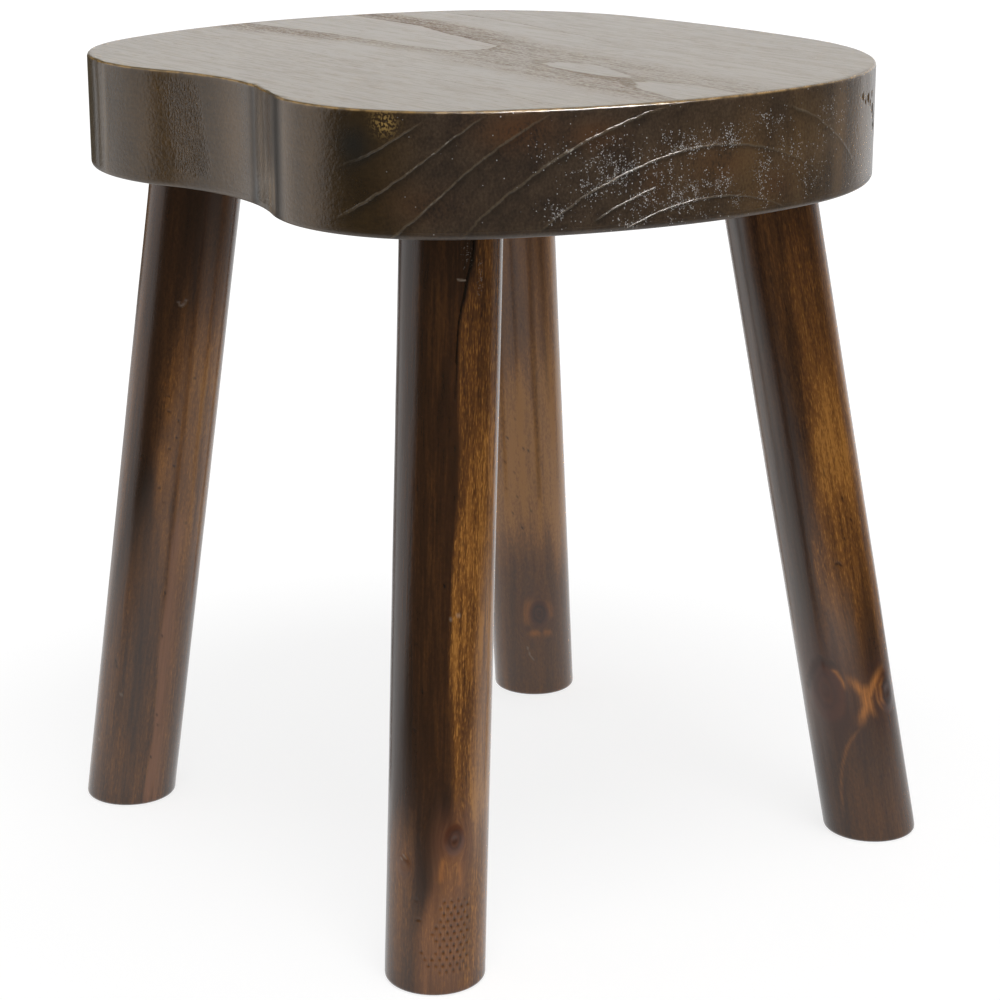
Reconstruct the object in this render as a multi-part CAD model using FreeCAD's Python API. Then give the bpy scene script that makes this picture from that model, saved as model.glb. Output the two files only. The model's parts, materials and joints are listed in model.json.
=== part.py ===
import FreeCAD, Part
import math
import os
from FreeCAD import Placement, Rotation, Vector

# A low rustic stool: one thick sawn slab with a hollow in its front edge, on four splayed pole legs.
# Each leg ends in a round tenon that is sawn at its end. A wedge stands in the saw cut, and the floor
# of the blind mortise drives it home, so the tenon's halves spread into the undercut and can't pull out.
# Frame: origin on the floor under the middle of the seat, X along the grain of the slab, the hollow
# in front at -Y, and Z up. All sizes are in millimetres.

# Seat slab
SEAT_HEIGHT = 400.0
SEAT_THICKNESS = 55.2
SEAT_WIDTH = 371.6
SEAT_DEPTH = 339.0
SIDE_RADIUS = 271.0
BACK_RADIUS = 554.0
NOTCH_RADIUS = 122.5
BACK_RIGHT_RADIUS = 142.3
BACK_LEFT_RADIUS = 112.5
FRONT_LEFT_RADIUS = 93.0
FRONT_RIGHT_RADIUS = 80.0
FRONT_LEFT_SETBACK = 2.0
TOP_EDGE_ROUND = 1.5
BOTTOM_EDGE_ROUND = 2.5

# Pole legs
LEG_INSET_FROM_SIDE = 84.3
LEG_INSET_FROM_END = 68.0
LEG_SPLAY = 37.5
LEG_DIAMETER = 46.6
FOOT_CHAMFER = 2.0

# The inset is from the seat's edges to the middle of a leg at the slab's underside, and the splay is
# how much further out its foot stands in X and in Y. The legs were bored and set by hand, so each one
# also has its corner of the seat and how far it is off its place, in X and Y, at the seat and the floor.
LEGS = {
    "front_left": {"corner": (-1, -1), "off_at_seat": (0.0, -4.5), "off_at_floor": (1.5, 0.0)},
    "front_right": {"corner": (1, -1), "off_at_seat": (2.5, 0.6), "off_at_floor": (1.5, -0.8)},
    "back_right": {"corner": (1, 1), "off_at_seat": (-3.5, -5.5), "off_at_floor": (3.0, 3.5)},
    "back_left": {"corner": (-1, 1), "off_at_seat": (-3.0, -7.5), "off_at_floor": (4.0, -0.9)},
}

# Blind, wedged joint between a leg and the slab, measured along the leg from the slab's underside
TENON_DIAMETER = 32.0
TENON_LENGTH = 36.0
MORTISE_DEPTH = 38.0
TENON_CLEARANCE = 0.15
KERF_WIDTH = 1.6
KERF_LENGTH = 25.0
TENON_SPREAD = 3.0
WEDGE_TIP_GAP = 3.0
WEDGE_CLEARANCE = 0.05

UNDERSIDE = SEAT_HEIGHT - SEAT_THICKNESS
KERF_ROOT = TENON_LENGTH - KERF_LENGTH
SPREAD_ANGLE = math.atan(TENON_SPREAD / 2 / KERF_LENGTH)


def unit(vector):
    """A vector's direction."""
    return vector / vector.Length


def meeting_point(centre_a, reach_a, centre_b, reach_b, side):
    """The point at given distances from two centres, on the side of their line that `side` lies on."""
    line = unit(centre_b - centre_a)
    span = (centre_b - centre_a).Length
    along = (reach_a**2 - reach_b**2 + span**2) / (2 * span)
    across = Vector(-line.y, line.x, 0) * math.sqrt(reach_a**2 - along**2)
    if across.dot(side - centre_a) < 0:
        across = -across
    return centre_a + line * along + across


def shorter_arc(centre, start, end):
    """The shorter arc about a centre, from start to end."""
    radius = (start - centre).Length
    middle = centre + unit((start - centre) + (end - centre)) * radius
    return Part.Arc(start, middle, end).toShape()


def seat_outline():
    """Closed outline of eight tangent arcs: the right, back and left edges, the hollow, and four corners."""
    half_width = SEAT_WIDTH / 2
    half_depth = SEAT_DEPTH / 2
    right = Vector(half_width - SIDE_RADIUS, 0, 0)
    left = -right
    back = Vector(0, half_depth - BACK_RADIUS, 0)

    def back_corner(side, radius, sign):
        """Centre of a corner that touches a side edge and the back edge from inside."""
        outwards = Vector(sign * half_width, half_depth, 0)
        return meeting_point(side, SIDE_RADIUS - radius, back, BACK_RADIUS - radius, outwards)

    def front_corner(side, radius, sign, setback):
        """Centre of a corner that touches a side edge from inside and stops a setback short of the front."""
        level = radius + setback - half_depth
        reach = math.sqrt((SIDE_RADIUS - radius) ** 2 - level**2)
        return Vector(side.x + sign * reach, level, 0)

    back_right = back_corner(right, BACK_RIGHT_RADIUS, 1)
    back_left = back_corner(left, BACK_LEFT_RADIUS, -1)
    front_left = front_corner(left, FRONT_LEFT_RADIUS, -1, FRONT_LEFT_SETBACK)
    front_right = front_corner(right, FRONT_RIGHT_RADIUS, 1, 0)
    in_front = Vector(0, -2 * SEAT_DEPTH, 0)
    notch = meeting_point(
        front_left, NOTCH_RADIUS + FRONT_LEFT_RADIUS, front_right, NOTCH_RADIUS + FRONT_RIGHT_RADIUS, in_front
    )

    # Counter-clockwise: each edge is followed by the corner that joins it to the next edge.
    edges = [(right, SIDE_RADIUS), (back, BACK_RADIUS), (left, SIDE_RADIUS), (notch, NOTCH_RADIUS)]
    corners = [back_right, back_left, front_left, front_right]

    def touch(edge_index, corner_index):
        """Where an edge arc passes into a corner arc."""
        centre, radius = edges[edge_index]
        return centre + unit(corners[corner_index] - centre) * radius

    arcs = []
    for index, corner in enumerate(corners):
        following = (index + 1) % len(edges)
        arcs.append(shorter_arc(edges[index][0], touch(index, index - 1), touch(index, index)))
        arcs.append(shorter_arc(corner, touch(index, index), touch(following, index)))
    return Part.Wire(arcs)


def level_edges(shape, height):
    """Edges of a shape that lie flat at one height."""
    tolerance = 1e-4
    return [
        edge
        for edge in shape.Edges
        if abs(edge.BoundBox.ZMin - height) < tolerance and abs(edge.BoundBox.ZMax - height) < tolerance
    ]


def seat_blank():
    """The slab with its edges eased, before it is bored."""
    outline = seat_outline()
    outline.translate(Vector(0, 0, UNDERSIDE))
    slab = Part.Face(outline).extrude(Vector(0, 0, SEAT_THICKNESS))
    slab = slab.makeFillet(TOP_EDGE_ROUND, level_edges(slab, SEAT_HEIGHT))
    return slab.makeFillet(BOTTOM_EDGE_ROUND, level_edges(slab, UNDERSIDE))


def leg_ends(leg):
    """Middle of a leg on the floor and at the slab's underside."""
    side, end = leg["corner"]
    reach_x = side * (SEAT_WIDTH / 2 - LEG_INSET_FROM_SIDE)
    reach_y = end * (SEAT_DEPTH / 2 - LEG_INSET_FROM_END)
    place = Vector(reach_x, reach_y, 0)
    splay = Vector(side * LEG_SPLAY, end * LEG_SPLAY, 0)
    top = place + Vector(*leg["off_at_seat"], UNDERSIDE)
    foot = place + splay + Vector(*leg["off_at_floor"], 0)
    return foot, top


def leg_frame(leg):
    """A leg's own frame: origin at the slab's underside, Z up the leg, and X along the slab's grain."""
    foot, top = leg_ends(leg)
    up = unit(top - foot)
    grain = unit(Vector(1, 0, 0) - up * up.x)
    return Placement(top, Rotation(grain, up.cross(grain), up, "ZXY"))


def in_leg_frame(shape, leg):
    """A shape drawn in a leg's own frame, moved to that leg."""
    shape.Placement = leg_frame(leg).multiply(shape.Placement)
    return shape


def pole(leg):
    """The round pole, cut level at the floor and under the slab, its foot chamfered against splitting."""
    foot, top = leg_ends(leg)
    length = (top - foot).Length
    # The blank runs past both level cuts.
    overrun = LEG_DIAMETER
    blank = Part.makeCylinder(LEG_DIAMETER / 2, length + 2 * overrun, Vector(0, 0, -length - overrun))
    room = 2 * (foot.Length + overrun)
    between_cuts = Part.makeBox(room, room, UNDERSIDE, Vector(-room / 2, -room / 2, 0))
    cut = in_leg_frame(blank, leg).common(between_cuts)
    return cut.makeChamfer(FOOT_CHAMFER, level_edges(cut, 0))


def spread_halves(radius, end, gap):
    """Two half cylinders with a gap between them, leaning out along X from the root of the kerf."""
    root = Vector(0, 0, KERF_ROOT)
    height = end - KERF_ROOT
    one_side = Part.makeBox(radius, 2 * radius, height, Vector(gap / 2, -radius, KERF_ROOT))
    half = Part.makeCylinder(radius, height, root).common(one_side)
    half.rotate(root, Vector(0, 1, 0), math.degrees(SPREAD_ANGLE))
    return [half, half.mirror(root, Vector(1, 0, 0))]


def tenon():
    """The round tenon, sawn and spread. Its stem starts inside the pole."""
    radius = TENON_DIAMETER / 2
    stem = Part.makeCylinder(radius, radius + KERF_ROOT, Vector(0, 0, -radius))
    return stem.fuse(spread_halves(radius, TENON_LENGTH, KERF_WIDTH))


def mortise():
    """The blind hole for a tenon, undercut where the tenon spreads. It starts below the slab."""
    radius = TENON_DIAMETER / 2 + TENON_CLEARANCE
    bore = Part.makeCylinder(radius, radius + MORTISE_DEPTH, Vector(0, 0, -radius))
    return bore.fuse(spread_halves(radius, MORTISE_DEPTH, 0))


def wedge():
    """The thin wedge that fills the spread kerf and stands on the floor of the mortise."""

    def half_thickness(height):
        kerf_half = KERF_WIDTH / 2 / math.cos(SPREAD_ANGLE)
        return kerf_half + (height - KERF_ROOT) * math.tan(SPREAD_ANGLE) - WEDGE_CLEARANCE

    tip = KERF_ROOT + WEDGE_TIP_GAP
    half_breadth = TENON_DIAMETER / 2
    corners = [
        Vector(sign * half_thickness(height), -half_breadth, height)
        for sign, height in ((-1, tip), (1, tip), (1, MORTISE_DEPTH), (-1, MORTISE_DEPTH))
    ]
    blank = Part.Face(Part.makePolygon(corners + corners[:1])).extrude(Vector(0, 2 * half_breadth, 0))
    return blank.common(Part.makeCylinder(half_breadth, MORTISE_DEPTH))


def build_pieces():
    """Every piece of the stool, by name."""
    seat = seat_blank()
    pieces = {}
    for name, leg in LEGS.items():
        seat = seat.cut(in_leg_frame(mortise(), leg))
        pieces["leg_" + name] = pole(leg).fuse(in_leg_frame(tenon(), leg))
        pieces["wedge_" + name] = in_leg_frame(wedge(), leg)
    pieces["seat_slab"] = seat
    return pieces


os.makedirs("parts", exist_ok=True)
for piece_name, shape in build_pieces().items():
    solid = shape.Solids[0]
    print(piece_name, len(shape.Solids), "solid, valid", solid.isValid(), round(solid.Volume), "mm3")
    solid.exportStep(os.path.join("parts", piece_name + ".step"))
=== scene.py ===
import json
import math

import bmesh
import bpy
import numpy as np
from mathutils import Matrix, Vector
from mathutils.geometry import delaunay_2d_cdt


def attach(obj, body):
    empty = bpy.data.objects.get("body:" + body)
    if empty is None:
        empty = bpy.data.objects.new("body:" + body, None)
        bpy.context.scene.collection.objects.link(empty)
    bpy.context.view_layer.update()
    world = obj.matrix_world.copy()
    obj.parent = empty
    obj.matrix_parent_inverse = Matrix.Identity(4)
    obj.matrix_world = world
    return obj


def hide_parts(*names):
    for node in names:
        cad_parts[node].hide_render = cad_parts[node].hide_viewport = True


# Looks of a rustic four-legged stool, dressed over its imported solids.
# Shapes are worked out in millimetres in the solids' own frame and written to the meshes in metres.
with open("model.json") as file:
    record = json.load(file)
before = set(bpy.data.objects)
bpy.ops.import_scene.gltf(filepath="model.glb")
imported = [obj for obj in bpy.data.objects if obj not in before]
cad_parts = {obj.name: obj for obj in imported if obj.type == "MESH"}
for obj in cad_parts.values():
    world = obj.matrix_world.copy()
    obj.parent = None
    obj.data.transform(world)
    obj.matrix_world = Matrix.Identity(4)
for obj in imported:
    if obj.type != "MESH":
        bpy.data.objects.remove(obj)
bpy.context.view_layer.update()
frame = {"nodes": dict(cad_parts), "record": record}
MM = 0.001

# Camera, at the photograph's place
CAMERA_PLACE = (1.0485, -0.8060, 0.5619)
CAMERA_AIM = (-0.75770, 0.58773, -0.28368)
CAMERA_LENS = 96.24

# Studio: white panels that the lacquer sees, as azimuth, half widths where each ends and is full, and level
PANELS = ((-142.0, 36.0, 24.0, 1.08), (124.0, 40.0, 27.0, 1.07), (82.0, 22.0, 8.0, 0.4))
# The bright panel overhead, which edges and bubbles catch: azimuth, half widths, lowest and highest rise,
# and level, and then how soft it is at its lowest and its highest rise
OVERHEAD = (14.0, 24.0, 14.0, 0.50, 0.80, 45.0)
OVERHEAD_SOFTNESS = (0.05, 0.03)
DARK_LEVEL = 0.10
DARK_TINT = (1.0, 0.86, 0.60)
AMBIENT_LEVEL = 0.55
FLOOR_WHITE = 0.92
FLOOR_GLOW = 1.12
FLOOR_RADIUS = 8.0
FLOOR_CORNERS = 96
# Share of its own white that the camera sees on the floor at the stool, the rest being shaded, and the
# distances over which that share grows to the whole
GLOW_SHARE = (0.7, 0.25, 0.8)
# Distances from the stool over which its near floor, seen in the lacquer, passes into the dark of the room
NEAR_FLOOR = (0.35, 0.85)
# The far floor, which the seat's side sees: distances over which the panels' light on it weakens, and by
# how much
FAR_FLOOR = (1.7, 2.1, 0.17)
# The lit stretch of floor on the far left, which the legs see: azimuth, half widths, distances where it
# ends and is full, and level
LIT_FLOOR = (176.0, 44.0, 26.0, 2.0, 1.5, 0.75)
# The softbox: the point that it faces, its place from there, its size and its power
LAMP_AIM = (0.0, 0.0, 0.4)
LAMP_PLACE = (0.70, -0.30, 1.86)
LAMP_SIZE = 0.9
LAMP_POWER = 19.0

# Meshes: how near a level a solid's points have to lie to count as on it, how near points are joined, in
# metres, and from which angle an edge is drawn sharp
ON_LEVEL = 0.05
ON_FLAT = 0.01
JOIN_DISTANCE = 0.00001
SHARP_DEGREES = 50

# Seat slab
TOP_EDGE_ROUND = 1.5
BOTTOM_EDGE_ROUND = 2.5
OUTLINE_POINTS = 8192
TOP_CELLS = 200
WALL_ROWS = 40
ROUND_ROWS = 5
# Angle of the first column of the side, and where columns stand closer: angle, half width, how much closer
FIRST_COLUMN = -45.0
SEAT_CLOSE_UPS = ((34.0, 6.0, 1.6), (-99.5, 7.0, 0.8), (-74.0, 8.0, 0.5))
UNDERSIDE_HALF = 190.0
UNDERSIDE_PITCH = 12.0
MORTISE_REACH = 26.0
# Growth rings: distances of the ring boundaries from the pith, which runs below the seat, roughly along X
RING_RADII = (70, 81, 92, 103.2, 114.3, 125.6, 146.5, 164.4, 178.6, 191, 204, 217, 230, 243)
TONGUE_RING = 146.5
TONGUE_NUMBER = RING_RADII.index(TONGUE_RING)
# The tongue ring breaks through the top in three tongues: stations along X, with the half width of the tongue
# there, or as a negative number how narrow the wood over the ring is
TONGUE_STATIONS = (-190, -115, -70, -20, -8, 20, 45, 75, 105, 114, 125, 175, 190)
TONGUE_HALF_WIDTHS = (34, 28, 23, 16, 0, -11, 0, 6.3, 0, -3.9, 0, 17, 18)
PITH_STATIONS = (-190, -115, -70, -20, 20, 75, 120, 175, 190)
PITH_Y = (10.6, 14, 9, 4, -2, -3, -8, -16, -17)
# Place of the pith as the right end shows it: Y and depth under the top
END_PITH = (-17.3, 146.7)
# Where along X that reading takes over on the side
END_STARTS = (60.0, 90.0)
# Unevenness of the rings: how far, size along X, Y and Z, seed
RING_WAVES = ((0.5, (70.0, 30.0, 30.0), 1), (0.3, (22.0, 9.0, 9.0), 2))
# Unevenness of the side: how far, size round the slab and upward, seed
SIDE_WAVES = ((0.22, 34.0, 90.0, 3), (0.06, 9.0, 40.0, 4))
# How strong and how wide the porous band is on the front side of the tongues, at the pith's stations
FRONT_BAND = (1.1, 1.1, 0.65, 0.6, 0.7, 0.8, 0.9, 0.6, 0.5)
FRONT_REACH = (0.70, 0.55, 0.26, 0.25, 0.45, 0.40, 0.40, 0.30, 0.30)
# Marks on the seat's side: angle round the slab in degrees, height above the floor, radius
WORN_PATCH = (-50.1, 394.6, 4.6)
INK_SPOT = (-54.2, 385.0, 9.0)
RIPPLE_CENTRE = (-99.8, 374.0)
RIPPLE_HALF_WIDTH = 14.0
RIPPLE_LEAN = 4.0 / 25.0
RIPPLE_HEIGHTS = (25.0, 17.0)
PITS = (
    (29.0, 388.5, 1.3), (30.4, 386.0, 0.9), (32.0, 387.0, 1.6), (33.4, 384.0, 1.0), (34.6, 388.0, 1.2),
    (35.4, 380.5, 1.9), (36.6, 376.5, 1.5), (37.4, 371.5, 1.8), (38.6, 367.0, 1.1), (36.2, 372.5, 0.9),
)
# Upright tool marks in the front hollow: angle, half width, height of the ridge
FLUTES = (
    (-120.2, 3.5, -0.3), (-117.0, 3.0, 0.25), (-79.5, 4.0, -0.3), (-75.0, 3.5, 0.35),
    (-73.0, 10.0, -0.4), (-70.6, 4.5, -0.7),
)
BOTTOM_NICK = (-27.6, 346.8, 2.2)
# Where the ring boundaries show as pale veins in the right end: number of the ring, then angle and strength
VEINS = {
    3: (
        (-21, 0), (-19, 0.5), (-15, 0.8), (-11, 0.6), (-6, 0.4), (-1, 0.2), (3, 0.15), (7, 0.15),
        (9, 0),
    ),
    4: ((-24, 0), (-22, 0.6), (-18, 0.9), (-16, 0.3), (-14, 0)),
    5: (
        (-32, 0), (-30, 0.2), (-24, 0.6), (-17, 0.75), (-15, 0.4), (-8, 0.55), (-5, 0.25), (4, 0.2),
        (14, 0.1), (20, 0),
    ),
    6: (
        (-43, 0), (-36, 0.3), (-31, 0.5), (-28, 0.8), (-24, 0.7), (-21, 0.3), (-16, 0.2), (-12, 0),
        (4, 0), (9, 0.1), (11, 0.3), (13, 0.15), (24, 0.15), (27, 0),
    ),
    7: ((-51, 0), (-49, 0.4), (-45, 0.6), (-42, 0.5), (-35, 0.35), (-28, 0)),
    8: ((-58, 0), (-51, 0.4), (-47, 0.6), (-42, 0.7), (-40, 0.3), (-37, 0)),
    9: ((-58, 0), (-54, 0.15), (-51, 0.4), (-48, 0.4), (-45, 0)),
}
# Clusters of lacquer bubbles, with glints painted into the colour: angle, height, half width, half height,
# strength
GLINTS = (
    (-21.3, 373, 14.5, 9.5, 1.0), (-29.0, 356, 6.0, 4.5, 0.9), (-13.0, 362, 6.0, 8.0, 0.9),
    (-10.0, 381, 16.0, 4.5, 1.0), (-18.5, 351, 7.0, 4.5, 0.9), (-5.0, 362, 9.0, 4.5, 1.0),
    (4.7, 386, 9.0, 5.5, 0.6), (4.6, 362, 9.3, 10.0, 0.6), (11.0, 371, 15.0, 8.0, 0.45),
    (-7.7, 350, 10.0, 3.6, 0.4), (-30.4, 382, 6.7, 4.3, 0.35), (-14.0, 371, 5.0, 5.0, 0.7),
    (14.0, 360, 8.0, 9.0, 0.6), (-1.0, 353, 8.0, 4.0, 0.5), (19.0, 384, 8.0, 7.0, 0.6),
    (-11.0, 359, 11.0, 9.0, 1.1), (-16.0, 358, 8.0, 6.0, 0.8), (-3.0, 382, 12.0, 4.0, 0.9),
    (-24.0, 369, 9.0, 8.0, 0.9),
)
# Places where the stain is redder: angle, height, half width, half height, strength
RED_PATCHES = (
    (-34, 391, 16, 8, 1.0), (-24, 388, 12, 6, 0.8), (-4, 370, 18, 9, 0.7), (6, 358, 14, 8, 0.6),
    (-46, 360, 16, 8, 0.4), (-15, 366, 8, 10, 0.4),
)
# Places where the lacquer is hazy, partly a painted sheen, then painted highlight streaks and painted shade
# streaks, in the same way
BLOOM_AND_SHEEN = (
    (8, 372, 12, 14, 0.6), (3, 350, 18, 6, 0.6), (15, 378, 16, 24, 0.7), (30, 372, 22, 32, 1.2),
    (-7, 370, 24, 25, 0.35), (-101, 374, 12, 25, 0.3), (-107.5, 374, 8, 30, 0.35),
    (-119, 372, 14, 45, 0.25), (1, 368, 14, 28, 0.75), (11, 374, 9, 32, 0.8), (21, 376, 8, 36, 1.2),
    (-65.6, 374, 7, 60, 0.7), (-87, 374, 13, 30, 0.9), (-61, 372, 9, 40, 0.5),
)
PALE_STREAKS = (
    (-76.6, 372, 3.2, 30, 0.55), (-72.6, 355, 2.6, 12, 1.0), (-74.6, 364, 3.0, 10, 0.6),
    (-66.5, 380, 2.5, 30, 0.3), (-70.8, 357, 1.6, 12, 0.8), (-117.2, 370, 2.2, 40, 0.4),
)
DARK_STREAKS = (
    (-80.0, 376, 2.5, 50, 0.6), (-69.0, 376, 6.0, 55, 0.85), (-68.2, 385, 1.5, 20, 0.6),
    (-79.5, 350, 3.5, 9, 0.9), (-68.0, 371, 0.9, 1.6, 1.0), (-121.6, 372, 4.0, 50, 0.5),
    (-54.0, 371, 18, 60, 0.5),
)
# Streaks where the lacquer is dull, in the same way
DULL_STREAKS = ((-69.1, 374, 5.5, 90, 1.0), (-80.6, 374, 3.0, 90, 0.5))

# Legs. Heights are above the floor and angles go round the leg from +X, in degrees.
FOOT_ROUND = 2.2
FOOT_ROWS = 5
# Insets of the rings on the sawn foot, as shares of the radius, and the pitch of the pole's mesh
SAWN_RINGS = (0.7, 0.4)
POLE_PITCH = 1.5
TENON_REACH = 20.0
LEG_WANDER = 0.08
RIGHT_SOFTNESS = 14.0
SAWN_TONE = 0.3
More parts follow.
